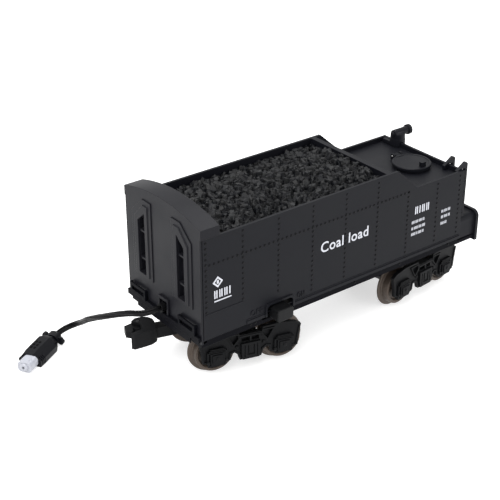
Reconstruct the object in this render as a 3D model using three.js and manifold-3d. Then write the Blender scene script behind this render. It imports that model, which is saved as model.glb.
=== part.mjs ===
// O gauge coal tender: a hollow tender body on two four-wheel trucks, with knuckle couplers,
// a slide switch, a hinged water hatch and a tether cable that plugs into the locomotive.
// Millimetres, +Z up. +X runs from the cable end to the tool box end, and -Y is the switch side.
import * as THREE from "three";
import { mergeVertices } from "three/addons/utils/BufferGeometryUtils.js";
import Module from "manifold-3d";

const wasm = await Module();
wasm.setup();

// ---------------------------------------------------------------- driving dimensions
const GAP = 0.3; // between pieces that touch
const RUNNING = 0.4; // round a shaft that turns

const BODY_LENGTH = 168.5; // front panel face to rear wall
const BODY_WIDTH = 60;
const WALL = 1.5;
const WALL_HEIGHT = 52; // bunker walls, above their bottom edge
const DECK_HEIGHT = WALL_HEIGHT - 15.3; // rear deck surface, above the walls' bottom edge
const DECK_LIP = 2.6; // rim round the rear deck
const BUNKER_LENGTH = BODY_LENGTH - 53.5; // front panel face to the bulkhead
const SLOPE_START = BODY_LENGTH - 48.2; // where the walls drop to the deck
const SLOPE_END = BODY_LENGTH - 33.8;

const SILL_HEIGHT = 4; // underframe, floor to the walls' bottom edge
const SILL_INSET = 1; // underframe sides, inside the walls' faces
const FLOOR = 2;
const TOOL_BOX_LENGTH = 12;
const FRAME_LENGTH = BODY_LENGTH + TOOL_BOX_LENGTH;

const PANEL = 3.2; // front panel thickness
const PANEL_CORNER = 1;
const HOOD_DEPTH = 10.5;
const HOOD_THICKNESS = 1.6;
const HOOD_CORNER_HEIGHT = WALL_HEIGHT + 9.2; // above the underframe's bottom, at the sides
const HOOD_RISE = 4.7;
const HOOD_OVERHANG = 0.6; // past the side walls
const HOOD_BAND = 3.6;

const WINDOW_INNER = 13; // tall front windows, from the middle of the panel
const WINDOW_OUTER = 18.5;
const WINDOW_SILL = 20.4; // above the underframe's bottom, as the next two are
const WINDOW_HEAD = WALL_HEIGHT + 0.9;
const WINDOW_BARS = [28, WALL_HEIGHT - 9.4];
const WINDOW_CUT = 4.9; // drop of the outer top corner
const WINDOW_DEPTH = 2.4;
const WINDOW_BAR = 1;

const WHEELBASE = 35;
const TRUCK_PIVOTS = { front: 41.3, rear: BODY_LENGTH - 17.7 };
const TRUCK_TURNS = { front: -16, rear: 6.5 }; // degrees, as the tender stands
const AXLE_DROP = 17.85; // axle centre below the underframe
const FLANGE_RADIUS = 12.4;
const TREAD_RADIUS = 10.2;
const TREAD_TAPER = 0.3;
const FLANGE_WIDTH = 1.3;
const WHEEL_WIDTH = 5.6;
const BACK_TO_BACK = 26.6;
const AXLE_RADIUS = 1.5;
const SIDEFRAME_FACE = 21.9; // outer face, from the truck's middle
const SIDEFRAME_THICKNESS = 2;
const JOURNAL_BOX = 7.2;
const JOURNAL_PROUD = 1.6;
const KINGPIN_RADIUS = 1.6;

const COUPLER_REACH = 47.3; // truck pivot to the middle of the knuckle head
const COUPLER_PIVOT = 25; // truck pivot to the coupler's own pivot
const COUPLER_HEIGHT = 7; // shank middle above the axles
const COUPLER_HEAD = 16;
const COUPLER_RISE = 5.2; // head above the shank's middle
const COUPLER_DROP = 3; // head below it
const COUPLER_FLANGE = 2; // above and below the knuckle

const COAL_DROP = 3.5; // coal edge below the wall tops
const COAL_CROWN = 3;
const COAL_THICKNESS = 5;

const HATCH_X = BODY_LENGTH - 14.2;
const HATCH_Y = -5.3;
const HATCH_RADIUS = 10.3;
const HATCH_LID = 1.6;
const HATCH_COLLAR = 1;
const HATCH_LUGS = [-2, 3.1]; // along the hinge, from the hatch's middle

const LAMP_Y = 20; // the lamp sits astride the rear wall
const LAMP_BODY = 4.2; // radius of its round foot
const LAMP_SEAT = DECK_HEIGHT + 8.7; // top of the foot, above the underframe's bottom, as the next two are
const LAMP_TOP = LAMP_SEAT + 4.1;
const LAMP_AXIS = LAMP_SEAT + 2.6;
const LAMP_BARREL = 2.1; // radius
const LAMP_RIM = 2.8;
const LAMP_REACH = [BODY_LENGTH - 3.7, BODY_LENGTH + 8.5];

const TOOL_BOX_HALF = BODY_WIDTH / 2 - 1.5;
const TOOL_BOX_TOP = 14.8; // above the underframe's bottom, as the next two are
const END_PLATE_TOP = 16;
const END_PLATE_BOTTOM = -1.3;
const END_PLATE = 2.2;
const SHOULDER = 3; // rounding of the tool box's top corners

const LADDER_STILES = [2.4 - BODY_WIDTH / 2, 11.3 - BODY_WIDTH / 2];
const LADDER_STILE = 1.8; // thickness
const LADDER_RUNG_PITCH = 6;
const LADDER_RUNG = 0.6; // radius

const SWITCH_X = 45.7;
const SWITCH_LENGTH = 15.6;
const SWITCH_TOP = 9.6; // above the underframe's bottom
const KNOB_LENGTH = 9.6;
const KNOB_HEIGHT = 6.4;
const KNOB_PROUD = 6;
const KNOB_TRAVEL = 3.4;

const CABLE_DIAMETER = 3.2;
const CABLE_Y = -0.8;
const CABLE_HEIGHT = 9.8; // above the underframe's bottom

const FRAME_Z = FLANGE_RADIUS + AXLE_DROP;
const SHELL_Z = FRAME_Z + SILL_HEIGHT;
const HALF = BODY_WIDTH / 2;
const WALL_TOP = SHELL_Z + WALL_HEIGHT;
const DECK_Z = SHELL_Z + DECK_HEIGHT;

// ---------------------------------------------------------------- materials
function finish(color, roughness, metalness) {
  return { color, roughness, metalness };
}
const FINISH = {
  body: finish(0x38393c, 0.5, 0),
  panel: finish(0x48484c, 0.5, 0),
  frame: finish(0x303135, 0.55, 0),
  coal: finish(0x191b1e, 0.7, 0),
  truck: finish(0x28292b, 0.6, 0),
  wheel: finish(0x60564e, 0.45, 0.6),
  steel: finish(0x9a9a98, 0.35, 1),
  rubber: finish(0x141416, 0.6, 0),
  plug: finish(0x232428, 0.5, 0),
  clear: finish(0xd7d7de, 0.3, 0),
  board: finish(0x1f5a3a, 0.5, 0),
  cell: finish(0x3a3a40, 0.4, 0),
};

// ---------------------------------------------------------------- solids
function solidOf(geometry) {
  const bare = geometry.index ? geometry.toNonIndexed() : geometry.clone();
  bare.deleteAttribute("normal");
  bare.deleteAttribute("uv");
  const merged = mergeVertices(bare, 1e-4);
  return new wasm.Manifold(
    new wasm.Mesh({
      numProp: 3,
      vertProperties: merged.attributes.position.array,
      triVerts: new Uint32Array(merged.index.array),
    }),
  );
}

function geometryOf(solid) {
  const { vertProperties, triVerts } = solid.getMesh();
  const geometry = new THREE.BufferGeometry();
  geometry.setAttribute("position", new THREE.BufferAttribute(vertProperties, 3));
  geometry.setIndex(new THREE.BufferAttribute(triVerts, 1));
  return geometry;
}

function join(first, ...others) {
  return others.reduce((whole, other) => whole.add(other), first);
}

function cut(first, ...others) {
  return others.reduce((whole, other) => whole.subtract(other), first);
}

// Two ends in rising order.
function span(a, b) {
  return [Math.min(a, b), Math.max(a, b)];
}

// A box from its three spans.
function block([x0, x1], [y0, y1], [z0, z1]) {
  const box = new THREE.BoxGeometry(x1 - x0, y1 - y0, z1 - z0);
  box.translate((x0 + x1) / 2, (y0 + y1) / 2, (z0 + z1) / 2);
  return solidOf(box);
}

function outline(points) {
  return new THREE.Shape(points.map(([u, v]) => new THREE.Vector2(u, v)));
}

// Turns a shape drawn as (u, v) and extruded along w so that w runs along the named axis.
const TURN = {
  x: new THREE.Matrix4().set(0, 0, 1, 0, 1, 0, 0, 0, 0, 1, 0, 0, 0, 0, 0, 1), // (y, z)
  y: new THREE.Matrix4().set(1, 0, 0, 0, 0, 0, -1, 0, 0, 1, 0, 0, 0, 0, 0, 1), // (x, z)
  z: new THREE.Matrix4(), // (x, y)
};

function slab(shape, axis, [from, to], curveSegments = 2) {
  const depth = to - from;
  const options = { depth, bevelEnabled: false, curveSegments };
  const geometry = new THREE.ExtrudeGeometry(shape, options);
  geometry.translate(0, 0, axis === "y" ? -to : from);
  geometry.applyMatrix4(TURN[axis]);
  return solidOf(geometry);
}

// A round bar along an axis, centred on (a, b) in the plane across it.
function rod(radius, axis, [a, b], reach, segments = 20) {
  const circle = new THREE.Shape().absarc(a, b, radius, 0, Math.PI * 2);
  return slab(circle, axis, reach, segments / 2);
}

// A solid of revolution about the Y axis from (radius, y) points.
function turned(profile, segments) {
  const points = profile.map(([r, y]) => new THREE.Vector2(r, y));
  return solidOf(new THREE.LatheGeometry(points, segments));
}

function rounded([u0, u1], [v0, v1], r) {
  const shape = new THREE.Shape();
  shape.moveTo(u0 + r, v0);
  shape.lineTo(u1 - r, v0);
  shape.absarc(u1 - r, v0 + r, r, -Math.PI / 2, 0);
  shape.absarc(u1 - r, v1 - r, r, 0, Math.PI / 2);
  shape.absarc(u0 + r, v1 - r, r, Math.PI / 2, Math.PI);
  shape.absarc(u0 + r, v0 + r, r, Math.PI, Math.PI * 1.5);
  return shape;
}

// An outline with square bottom corners and rounded top ones.
function shouldered(half, [low, top], r) {
  const shape = new THREE.Shape();
  shape.moveTo(-half, low);
  shape.lineTo(half, low);
  shape.absarc(half - r, top - r, r, 0, Math.PI / 2);
  shape.absarc(r - half, top - r, r, Math.PI / 2, Math.PI);
  return shape;
}

function named(name, solid, look) {
  const material = new THREE.MeshStandardMaterial(FINISH[look]);
  const mesh = new THREE.Mesh(geometryOf(solid), material);
  mesh.name = name;
  return mesh;
}

// The arch over the body: height at y for a crown of the given rise over the half width.
function archPoints(half, edge, rise, steps) {
  return Array.from({ length: steps + 1 }, (_, i) => {
    const y = half - (2 * half * i) / steps;
    return [y, edge + rise * (1 - (y / half) ** 2)];
  });
}

const SIDES = [
  ["left", -1],
  ["right", 1],
];

// ---------------------------------------------------------------- body
const KINGPIN_HOLE = KINGPIN_RADIUS + GAP;
const SWITCH_SPAN = [SWITCH_X - SWITCH_LENGTH / 2, SWITCH_X + SWITCH_LENGTH / 2];
const SWITCH_FLANGE = 1.6;
const SCREW_RADIUS = 1.2;
const SCREW_HOLE = SCREW_RADIUS + GAP;
const SCREW_SPOTS = { front: 14, rear: BODY_LENGTH - 8.5 };
const SCREW_Y = HALF - 8;
const BOSS_RADIUS = 3.4;
const BEAD = 0.4; // how far the moulding along the walls' foot stands out
const BEAD_START = 26;
const SPEAKER_X = (TRUCK_PIVOTS.front + TRUCK_PIVOTS.rear) / 2;
const SPEAKER_RADIUS = 19;
const SPEAKER_HEIGHT = 8;
const SOUND_SLOT_PITCH = 5;
const INNER = HALF - WALL;

function underframe() {
  const side = HALF - SILL_INSET;
  const pan = block([0.6, FRAME_LENGTH], [-side, side], [FRAME_Z, SHELL_Z - GAP]);
  const hollow = block(
    [PANEL + 2 * GAP, BODY_LENGTH - WALL],
    [-side + WALL, side - WALL],
    [FRAME_Z + FLOOR, SHELL_Z + 1],
  );
  const boxSeat = block([BODY_LENGTH, FRAME_LENGTH + 1], [-HALF, HALF], [FRAME_Z + FLOOR, SHELL_Z + 1]);
  const through = [FRAME_Z - 1, SHELL_Z];
  const kingpins = Object.values(TRUCK_PIVOTS).map((x) => rod(KINGPIN_HOLE, "z", [x, 0], through, 12));
  const screws = Object.values(SCREW_SPOTS).flatMap((x) =>
    SIDES.map(([, sign]) => rod(SCREW_HOLE, "z", [x, sign * SCREW_Y], through, 10)),
  );
  const slots = [-2, -1, 0, 1, 2].map((i) => {
    const reach = Math.sqrt((SPEAKER_RADIUS - 5) ** 2 - (i * SOUND_SLOT_PITCH) ** 2);
    const x = SPEAKER_X + i * SOUND_SLOT_PITCH;
    return block([x - 1, x + 1], [-reach, reach], through);
  });
  const panelSeat = block([0, PANEL + GAP], [-HALF, HALF], [FRAME_Z + FLOOR, SHELL_Z + 1]);
  const switchX = [SWITCH_SPAN[0] - SWITCH_FLANGE - GAP, SWITCH_SPAN[1] + SWITCH_FLANGE + GAP];
  const switchGap = block(switchX, [-HALF, WALL + 1 - side], [FRAME_Z + FLOOR, SHELL_Z + 1]);
  return cut(pan, hollow, boxSeat, panelSeat, switchGap, ...kingpins, ...screws, ...slots);
}

function switchOpening(grow) {
  const x = [SWITCH_SPAN[0] - grow, SWITCH_SPAN[1] + grow];
  return rounded(x, [FRAME_Z - 6, FRAME_Z + SWITCH_TOP + grow], 2);
}

// Walls with the drop to the rear deck, the deck, the bulkhead and the screw bosses.
function bodyShell() {
  const x0 = PANEL_CORNER + GAP;
  const deckTop = DECK_Z + DECK_LIP;
  const profile = outline([
    [x0, SHELL_Z],
    [BODY_LENGTH, SHELL_Z],
    [BODY_LENGTH, deckTop],
    [SLOPE_END, deckTop],
    [SLOPE_START, WALL_TOP],
    [x0, WALL_TOP],
  ]);
  const outer = slab(profile, "y", [-HALF, HALF]);
  const deckBottom = DECK_Z - FLOOR;
  const bunker = block([-1, BUNKER_LENGTH - WALL], [-INNER, INNER], [SHELL_Z - 1, WALL_TOP + 1]);
  const below = block([-1, BODY_LENGTH - WALL], [-INNER, INNER], [SHELL_Z - 1, deckBottom]);
  const above = block([BUNKER_LENGTH + WALL, BODY_LENGTH - WALL], [-INNER, INNER], [DECK_Z, WALL_TOP + 1]);
  const opening = slab(switchOpening(0), "y", [-HALF - 1, -INNER + 1]);
  const rim = cut(
    slab(switchOpening(1.1), "y", [-HALF - 0.8, -HALF + 0.5]),
    slab(switchOpening(0), "y", [-HALF - 2, -HALF + 2]),
    block([0, BODY_LENGTH], [-HALF - 2, -HALF + 2], [0, SHELL_Z]),
  );
  const bead = SIDES.map(([, sign]) => {
    const y = [sign * HALF - BEAD, sign * HALF + BEAD];
    const strip = block([BEAD_START, BODY_LENGTH], y, [SHELL_Z, SHELL_Z + 1.6]);
    return cut(strip, block([SWITCH_SPAN[0] - 1, SWITCH_SPAN[1] + 1], y, [SHELL_Z - 1, SHELL_Z + 3]));
  });
  const floor = FRAME_Z + FLOOR + GAP;
  const bosses = Object.values(SCREW_SPOTS).flatMap((x) =>
    SIDES.map(([, sign]) => {
      const y = sign * SCREW_Y;
      const post = rod(BOSS_RADIUS, "z", [x, y], [floor, deckBottom + 0.5], 10);
      const web = block([x - 0.8, x + 0.8], span(y, sign * (HALF - 0.5)), [SHELL_Z, deckBottom + 0.5]);
      return cut(join(post, web), rod(SCREW_HOLE, "z", [x, y], [floor - 1, floor + 12], 10));
    }),
  );
  const hatchHole = rod(HATCH_RADIUS - 3, "z", [HATCH_X, HATCH_Y], [deckBottom - 1, DECK_Z + 1], 32);
  const shell = join(cut(outer, bunker, below, above), rim, ...bead);
  return cut(join(shell, ...bosses), opening, hatchHole);
}

function windowShape(side) {
  const inner = side * WINDOW_INNER;
  const outer = side * WINDOW_OUTER;
  const sill = FRAME_Z + WINDOW_SILL;
  const head = FRAME_Z + WINDOW_HEAD;
  const points = [
    [inner, sill],
    [outer, sill],
    [outer, head - WINDOW_CUT],
    [inner, head],
  ];
  return outline(side > 0 ? points : points.reverse());
}

// Front panel with its two windows, the cable notch and the arched hood over it.
function frontPanel() {
  const low = FRAME_Z + FLOOR + GAP;
  const corner = FRAME_Z + HOOD_CORNER_HEIGHT;
  const arch = archPoints(HALF, corner, HOOD_RISE, 16);
  const face = slab(outline([[-HALF, low], [HALF, low], ...arch]), "x", [0, PANEL_CORNER]);
  const inside = slab(
    outline([[-INNER + GAP, low], [INNER - GAP, low], ...archPoints(INNER - GAP, corner - 0.5, HOOD_RISE, 16)]),
    "x",
    [PANEL_CORNER - 0.1, PANEL],
  );
  const wide = HALF + HOOD_OVERHANG;
  const roof = outline([[-wide, WALL_TOP + GAP], [wide, WALL_TOP + GAP], ...archPoints(wide, corner, HOOD_RISE, 16)]);
  const band = corner - HOOD_BAND;
  const under = archPoints(HALF - HOOD_THICKNESS, corner - HOOD_THICKNESS, HOOD_RISE, 16);
  const hollow = outline([[-HALF + HOOD_THICKNESS, band - 4], [HALF - HOOD_THICKNESS, band - 4], ...under]);
  const hood = cut(
    slab(roof, "x", [0, HOOD_DEPTH]),
    slab(hollow, "x", [PANEL, HOOD_DEPTH + 1]),
  );
  const glazing = SIDES.map(([, side]) => {
    const hole = slab(windowShape(side), "x", [-1, WINDOW_DEPTH]);
    const bars = WINDOW_BARS.map((height) => {
      const z = FRAME_Z + height;
      const y = span(side * WINDOW_INNER, side * WINDOW_OUTER);
      return block([-2, WINDOW_DEPTH + 1], y, [z - WINDOW_BAR / 2, z + WINDOW_BAR / 2]);
    });
    return cut(hole, ...bars);
  });
  const notchZ = FRAME_Z + CABLE_HEIGHT;
  const notch = join(
    block([-2, PANEL + 1], [CABLE_Y - 2.6, CABLE_Y + 2.6], [FRAME_Z, notchZ]),
    rod(2.6, "x", [CABLE_Y, notchZ], [-2, PANEL + 1]),
  );
  return cut(join(face, inside, hood), ...glazing, notch);
}

// Ledge along the foot of the front panel, with a buffer beam under it and two step loops on it.
const BEAM_HALF = HALF - 8;
const LEDGE = [3.6, 6.4]; // above the underframe's bottom, as the next two are
const LOOP = [6.2, 11.8];
const LOOP_SLOT = [8, 10.2];
const LOOP_SPAN = [HALF - 16.4, HALF - 3.2]; // from the middle of the panel
function frontBeam() {
  const up = ([low, high]) => [FRAME_Z + low, FRAME_Z + high];
  const plate = block([-1.5, -GAP], [-HALF + 0.4, HALF - 0.4], up(LEDGE));
  const beam = block([-0.9, -GAP], [-BEAM_HALF, BEAM_HALF], up([0, LEDGE[0] + 0.5]));
  const loops = SIDES.map(([, side]) => {
    const [inner, outer] = LOOP_SPAN;
    const face = block([-1.9, -1], span(side * inner, side * outer), up(LOOP));
    const slot = block([-3, 0], span(side * (inner + 1.4), side * (outer - 1.8)), up(LOOP_SLOT));
    const ends = [[inner, inner + 1], [outer - 1, outer]].map(([from, to]) =>
      block([-1.4, -GAP], span(side * from, side * to), up(LOOP)),
    );
    return join(cut(face, slot), ...ends);
  });
  return join(plate, beam, ...loops);
}

// Coal insert with a crowned top; it drops into the bunker between the panel and the bulkhead.
function coalLoad() {
  const half = INNER - GAP;
  const edge = WALL_TOP - COAL_DROP;
  const top = archPoints(half, edge, COAL_CROWN, 12);
  const load = outline([[-half, edge - COAL_THICKNESS], [half, edge - COAL_THICKNESS], ...top]);
  return slab(load, "x", [PANEL + GAP, BUNKER_LENGTH - WALL - GAP]);
}

function toolBox() {
  const x0 = BODY_LENGTH + GAP;
  const low = FRAME_Z + FLOOR + GAP;
  const top = FRAME_Z + TOOL_BOX_TOP;
  const section = shouldered(TOOL_BOX_HALF, [low, top], SHOULDER);
  const box = slab(section, "x", [x0, FRAME_LENGTH + 1], 4);
  const rim = [FRAME_Z + END_PLATE_BOTTOM, FRAME_Z + END_PLATE_TOP];
  const plate = slab(shouldered(HALF, rim, SHOULDER + 0.5), "x", [FRAME_LENGTH + GAP, FRAME_LENGTH + END_PLATE], 4);
  const half = TOOL_BOX_HALF - WALL;
  const inside = block([x0 + WALL, FRAME_LENGTH - 2], [-half, half], [low - 1, top - SHOULDER]);
  return cut(join(box, plate), inside);
}

// Two plates that hook over the rear wall, with rungs between them.
function rearLadder() {
  const lip = DECK_Z + DECK_LIP + GAP;
  const front = BODY_LENGTH - WALL - GAP;
  const back = BODY_LENGTH + 1.8;
  const low = FRAME_Z + TOOL_BOX_TOP + 2 * GAP;
  const hook = outline([
    [front - 2.4, DECK_Z + GAP],
    [front, DECK_Z + GAP],
    [front, lip],
    [back, lip],
    [back, low],
    [back + 1.7, low],
    [back + 1.7, lip + 2.2],
    [back + 1, lip + 3],
    [back, lip + 3.2],
    [front - 2.4, DECK_Z + 2.4],
  ]);
  const stiles = LADDER_STILES.map((y) => slab(hook, "y", [y - LADDER_STILE / 2, y + LADDER_STILE / 2]));
  const across = [LADDER_STILES[0] - 1, LADDER_STILES[1] + 1];
  const count = Math.floor((lip - low) / LADDER_RUNG_PITCH);
  const rungs = Array.from({ length: count }, (_, i) =>
    rod(LADDER_RUNG, "y", [back + 0.8, low + 2 + i * LADDER_RUNG_PITCH], across, 6),
  );
  return join(...stiles, ...rungs);
}

const LID_Z = DECK_Z + HATCH_COLLAR + 2 * GAP;
const HATCH_HINGE_Y = HATCH_Y + HATCH_RADIUS + 1.5;
const HATCH_HINGE_Z = LID_Z + HATCH_LID / 2;
const HINGE_PIN = 0.5;
const HINGE_LUG = 1.25; // radius
const HINGE_LUG_HALF = 0.6;

function hatchCollar() {
  const foot = [DECK_Z + GAP, DECK_Z + HATCH_COLLAR + GAP];
  const ring = rod(HATCH_RADIUS - 0.6, "z", [HATCH_X, HATCH_Y], foot, 32);
  const mouth = rod(HATCH_RADIUS - 3, "z", [HATCH_X, HATCH_Y], [DECK_Z, foot[1] + 1], 32);
  const axis = [HATCH_HINGE_Y, HATCH_HINGE_Z];
  const lugs = HATCH_LUGS.map((dx) => {
    const x = [HATCH_X + dx - HINGE_LUG_HALF, HATCH_X + dx + HINGE_LUG_HALF];
    const y = [HATCH_HINGE_Y - HINGE_LUG, HATCH_HINGE_Y + HINGE_LUG];
    const lug = join(block(x, y, [foot[0], HATCH_HINGE_Z]), rod(HINGE_LUG, "x", axis, x, 12));
    const arm = block(x, [HATCH_Y + HATCH_RADIUS - 2.4, HATCH_HINGE_Y], foot);
    return cut(join(lug, arm), rod(HINGE_PIN + GAP, "x", axis, [x[0] - 1, x[1] + 1], 12));
  });
  return join(cut(ring, mouth), ...lugs);
}

function hatchLid() {
  const z = [LID_Z, LID_Z + HATCH_LID];
  const axis = [HATCH_HINGE_Y, HATCH_HINGE_Z];
  const clear = HINGE_LUG_HALF + GAP;
  const x = [HATCH_X + HATCH_LUGS[0] + clear, HATCH_X + HATCH_LUGS[1] - clear];
  const disc = rod(HATCH_RADIUS, "z", [HATCH_X, HATCH_Y], z, 36);
  const tongue = block(x, [HATCH_Y + HATCH_RADIUS - 1.4, HATCH_HINGE_Y], z);
  const barrel = rod(HINGE_LUG - 0.1, "x", axis, x, 12);
  const bore = rod(HINGE_PIN + GAP, "x", axis, [x[0] - 1, x[1] + 1], 12);
  const handle = block([HATCH_X - 0.8, HATCH_X + 2.2], [HATCH_Y - 8.3, HATCH_Y - 6.3], [z[1] - 0.2, z[1] + 1.8]);
  return join(cut(join(disc, tongue, barrel), bore), handle);
}

function hatchPin() {
  const past = HINGE_LUG_HALF + GAP;
  const x = [HATCH_X + HATCH_LUGS[0] - past, HATCH_X + HATCH_LUGS[1] + past];
  return rod(HINGE_PIN, "x", [HATCH_HINGE_Y, HATCH_HINGE_Z], x, 12);
}

// Round foot astride the rear wall, with a lug on the deck beside it.
function lampPost() {
  const z = [DECK_Z + GAP, FRAME_Z + LAMP_SEAT];
  const foot = rod(LAMP_BODY, "z", [BODY_LENGTH, LAMP_Y], z, 24);
  const wall = [BODY_LENGTH - WALL - GAP, BODY_LENGTH + GAP];
  const saddle = block(wall, [LAMP_Y - 6, LAMP_Y + 6], [DECK_Z, DECK_Z + DECK_LIP + GAP]);
  const lug = block([wall[0] - 2.2, wall[0]], [LAMP_Y, LAMP_Y + 7.4], [z[0], z[0] + 2.2]);
  return cut(join(foot, lug), saddle);
}

function lampHousing() {
  const at = [LAMP_Y, FRAME_Z + LAMP_AXIS];
  const seat = FRAME_Z + LAMP_SEAT + GAP;
  const drum = rod(LAMP_BODY - 0.2, "z", [BODY_LENGTH, LAMP_Y], [seat, FRAME_Z + LAMP_TOP - 0.8], 24);
  const crown = rod(LAMP_BODY - 1, "z", [BODY_LENGTH, LAMP_Y], [seat, FRAME_Z + LAMP_TOP], 24);
  const barrel = rod(LAMP_BARREL, "x", at, LAMP_REACH, 16);
  const rim = rod(LAMP_RIM, "x", at, [LAMP_REACH[1] - 2, LAMP_REACH[1]], 20);
  const cap = rod(LAMP_BARREL * 0.6, "x", at, [LAMP_REACH[0] - 0.8, LAMP_REACH[0] + 1], 12);
  const bore = rod(LAMP_RIM - 0.7, "x", at, [LAMP_REACH[1] - 1.6, LAMP_REACH[1] + 1], 20);
  return cut(join(drum, crown, barrel, rim, cap), bore);
}

function lampLens() {
  const at = [LAMP_Y, FRAME_Z + LAMP_AXIS];
  return rod(LAMP_RIM - 0.7 - GAP, "x", at, [LAMP_REACH[1] - 1.6 + GAP, LAMP_REACH[1] - 0.4], 20);
}

// ---------------------------------------------------------------- slide switch
const SWITCH_Z = FRAME_Z + SWITCH_TOP - 1.2 - KNOB_HEIGHT / 2;
const KNOB_X = SWITCH_X - 0.9;

function switchHousing() {
  const x = [SWITCH_SPAN[0] - SWITCH_FLANGE, SWITCH_SPAN[1] + SWITCH_FLANGE];
  const z = [FRAME_Z + FLOOR + GAP, FRAME_Z + SWITCH_TOP + 1.6];
  const box = block(x, [-INNER + GAP, -INNER + 6], z);
  const slot = block(
    [KNOB_X - 1.6 - GAP, KNOB_X + 1.6 + KNOB_TRAVEL + GAP],
    [-INNER - 1, -INNER + 3.4],
    [SWITCH_Z - 1.3 - GAP, SWITCH_Z + 1.3 + GAP],
  );
  return cut(box, slot);
}

function switchKnob() {
  const x = [KNOB_X - KNOB_LENGTH / 2, KNOB_X + KNOB_LENGTH / 2];
  const z = [SWITCH_Z - KNOB_HEIGHT / 2, SWITCH_Z + KNOB_HEIGHT / 2];
  const cap = slab(rounded(x, z, 1.4), "y", [-HALF - KNOB_PROUD, -INNER - 0.1]);
  const stem = block([KNOB_X - 1.6, KNOB_X + 1.6], [-INNER - 1, -INNER + 3], [SWITCH_Z - 1.3, SWITCH_Z + 1.3]);
  return join(cap, stem);
}

// ---------------------------------------------------------------- inside the body
const BOARD_Z = FRAME_Z + FLOOR + 14;
const BOARD = [72, 44, 1.6];
const CHIPS = [[-26, 9], [-8, -8], [12, 6], [28, -9]]; // middles, from the speaker's middle
const CHIP = [10, 8, 3];
const BATTERY = [48.5, 26.5, DECK_HEIGHT - 19.2]; // it stands up to just under the deck

function circuitBoard() {
  const [length, width, thickness] = BOARD;
  const [long, wide, tall] = CHIP;
  const x0 = SPEAKER_X + 2 - length / 2;
  const board = block([x0, x0 + length], [-width / 2, width / 2], [BOARD_Z, BOARD_Z + thickness]);
  const chips = CHIPS.map(([dx, y]) => {
    const x = SPEAKER_X + dx - long / 2;
    return block([x, x + long], [y - wide / 2, y + wide / 2], [BOARD_Z + 1, BOARD_Z + 1 + tall]);
  });
  const standoffs = [x0 + 4, x0 + length - 4].flatMap((x) => [4 - width / 2, width / 2 - 4].map((y) =>
    rod(1.8, "z", [x, y], [FRAME_Z + FLOOR + GAP, BOARD_Z + 1], 10),
  ));
  return join(board, ...chips, ...standoffs);
}

function speaker() {
  const at = [SPEAKER_X, 0];
  const z = FRAME_Z + FLOOR + GAP;
  const rim = rod(SPEAKER_RADIUS, "z", at, [z, z + 2.4], 32);
  const basket = rod(SPEAKER_RADIUS * 0.72, "z", at, [z + 2, z + 5], 24);
  const magnet = rod(SPEAKER_RADIUS * 0.45, "z", at, [z + 4, z + SPEAKER_HEIGHT], 24);
  const cone = rod(SPEAKER_RADIUS * 0.6, "z", at, [z - 1, z + 1.6], 24);
  return cut(join(rim, basket, magnet), cone);
}

function battery() {
  const z = BOARD_Z + 4 + 2 * GAP;
  const x = SPEAKER_X - BATTERY[0] / 2 - 2;
  return block([x, x + BATTERY[0]], [-BATTERY[1] / 2, BATTERY[1] / 2], [z, z + BATTERY[2]]);
}

function bodyScrew(x, y) {
  const seat = FRAME_Z - GAP;
  const shank = rod(SCREW_RADIUS, "z", [x, y], [seat - 0.2, FRAME_Z + FLOOR + 9], 8);
  const head = rod(SCREW_RADIUS * 2, "z", [x, y], [seat - 1.2, seat], 10);
  return join(shank, head);
}

// ---------------------------------------------------------------- trucks, in their own frame
// The truck's frame has its middle at the kingpin on the axle line; -X is its outer end.
const SIDE_HALF = [
  [0, 9],
  [5.9, 9],
  [6.5, 11.2],
  [16.8, 11.6],
  [24, 10.3],
  [26.6, 8.6],
  [25.3, 1.5],
  [24.9, -3],
  [22.2, -3.8],
  [22, -5.8],
  [13, -5.8],
  [12.2, -4.4],
  [10.4, -3.7],
  [10, -0.6],
  [8.4, -0.2],
  [6.6, -1.6],
  [5.6, -4.9],
  [0, -5.2],
];

function sideframe(side) {
  const mirrored = SIDE_HALF.slice(1, -1).map(([x, z]) => [-x, z]).reverse();
  const points = [...SIDE_HALF, ...mirrored];
  const inner = SIDEFRAME_FACE - SIDEFRAME_THICKNESS;
  const band = (from, to) => span(side * from, side * to);
  const plate = slab(outline(points.reverse()), "y", band(inner, SIDEFRAME_FACE));
  const window = block([-4.8, 4.8], band(inner - 1, SIDEFRAME_FACE + 1), [4.8, 8]);
  const pockets = [-1, 1].map((end) => {
    const pocket = [[end * 6.4, 7.2], [end * 8.9, 4.2], [end * 11.8, 9.3], [end * 6.6, 9.4]];
    return slab(outline(end > 0 ? pocket : pocket.reverse()), "y", band(SIDEFRAME_FACE - 1.2, SIDEFRAME_FACE + 1));
  });
  const proud = SIDEFRAME_FACE + JOURNAL_PROUD;
  const details = [-1, 1].flatMap((end) => {
    const x = (end * WHEELBASE) / 2;
    const half = JOURNAL_BOX / 2;
    const boss = block([x - half, x + half], band(SIDEFRAME_FACE - 0.5, proud), [-half - 0.8, half - 1.2]);
    const spring = block([x - 5, x + 5], band(SIDEFRAME_FACE - 0.5, SIDEFRAME_FACE + 0.9), [half - 1.4, half + 1.4]);
    const bolt = rod(1.1, "y", [x, -0.6], band(proud - 0.2, proud + 0.5), 8);
    return [boss, spring, bolt];
  });
  const seat = block([-4.6, 4.6], band(SIDEFRAME_FACE - 0.5, SIDEFRAME_FACE + 1), [-4.4, 4]);
  const axles = [-1, 1].map((end) =>
    rod(AXLE_RADIUS * 0.6 + RUNNING, "y", [(end * WHEELBASE) / 2, 0], band(inner - 1, inner + 1.2), 12),
  );
  return cut(join(cut(plate, window, ...pockets), ...details, seat), ...axles);
}

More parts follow.
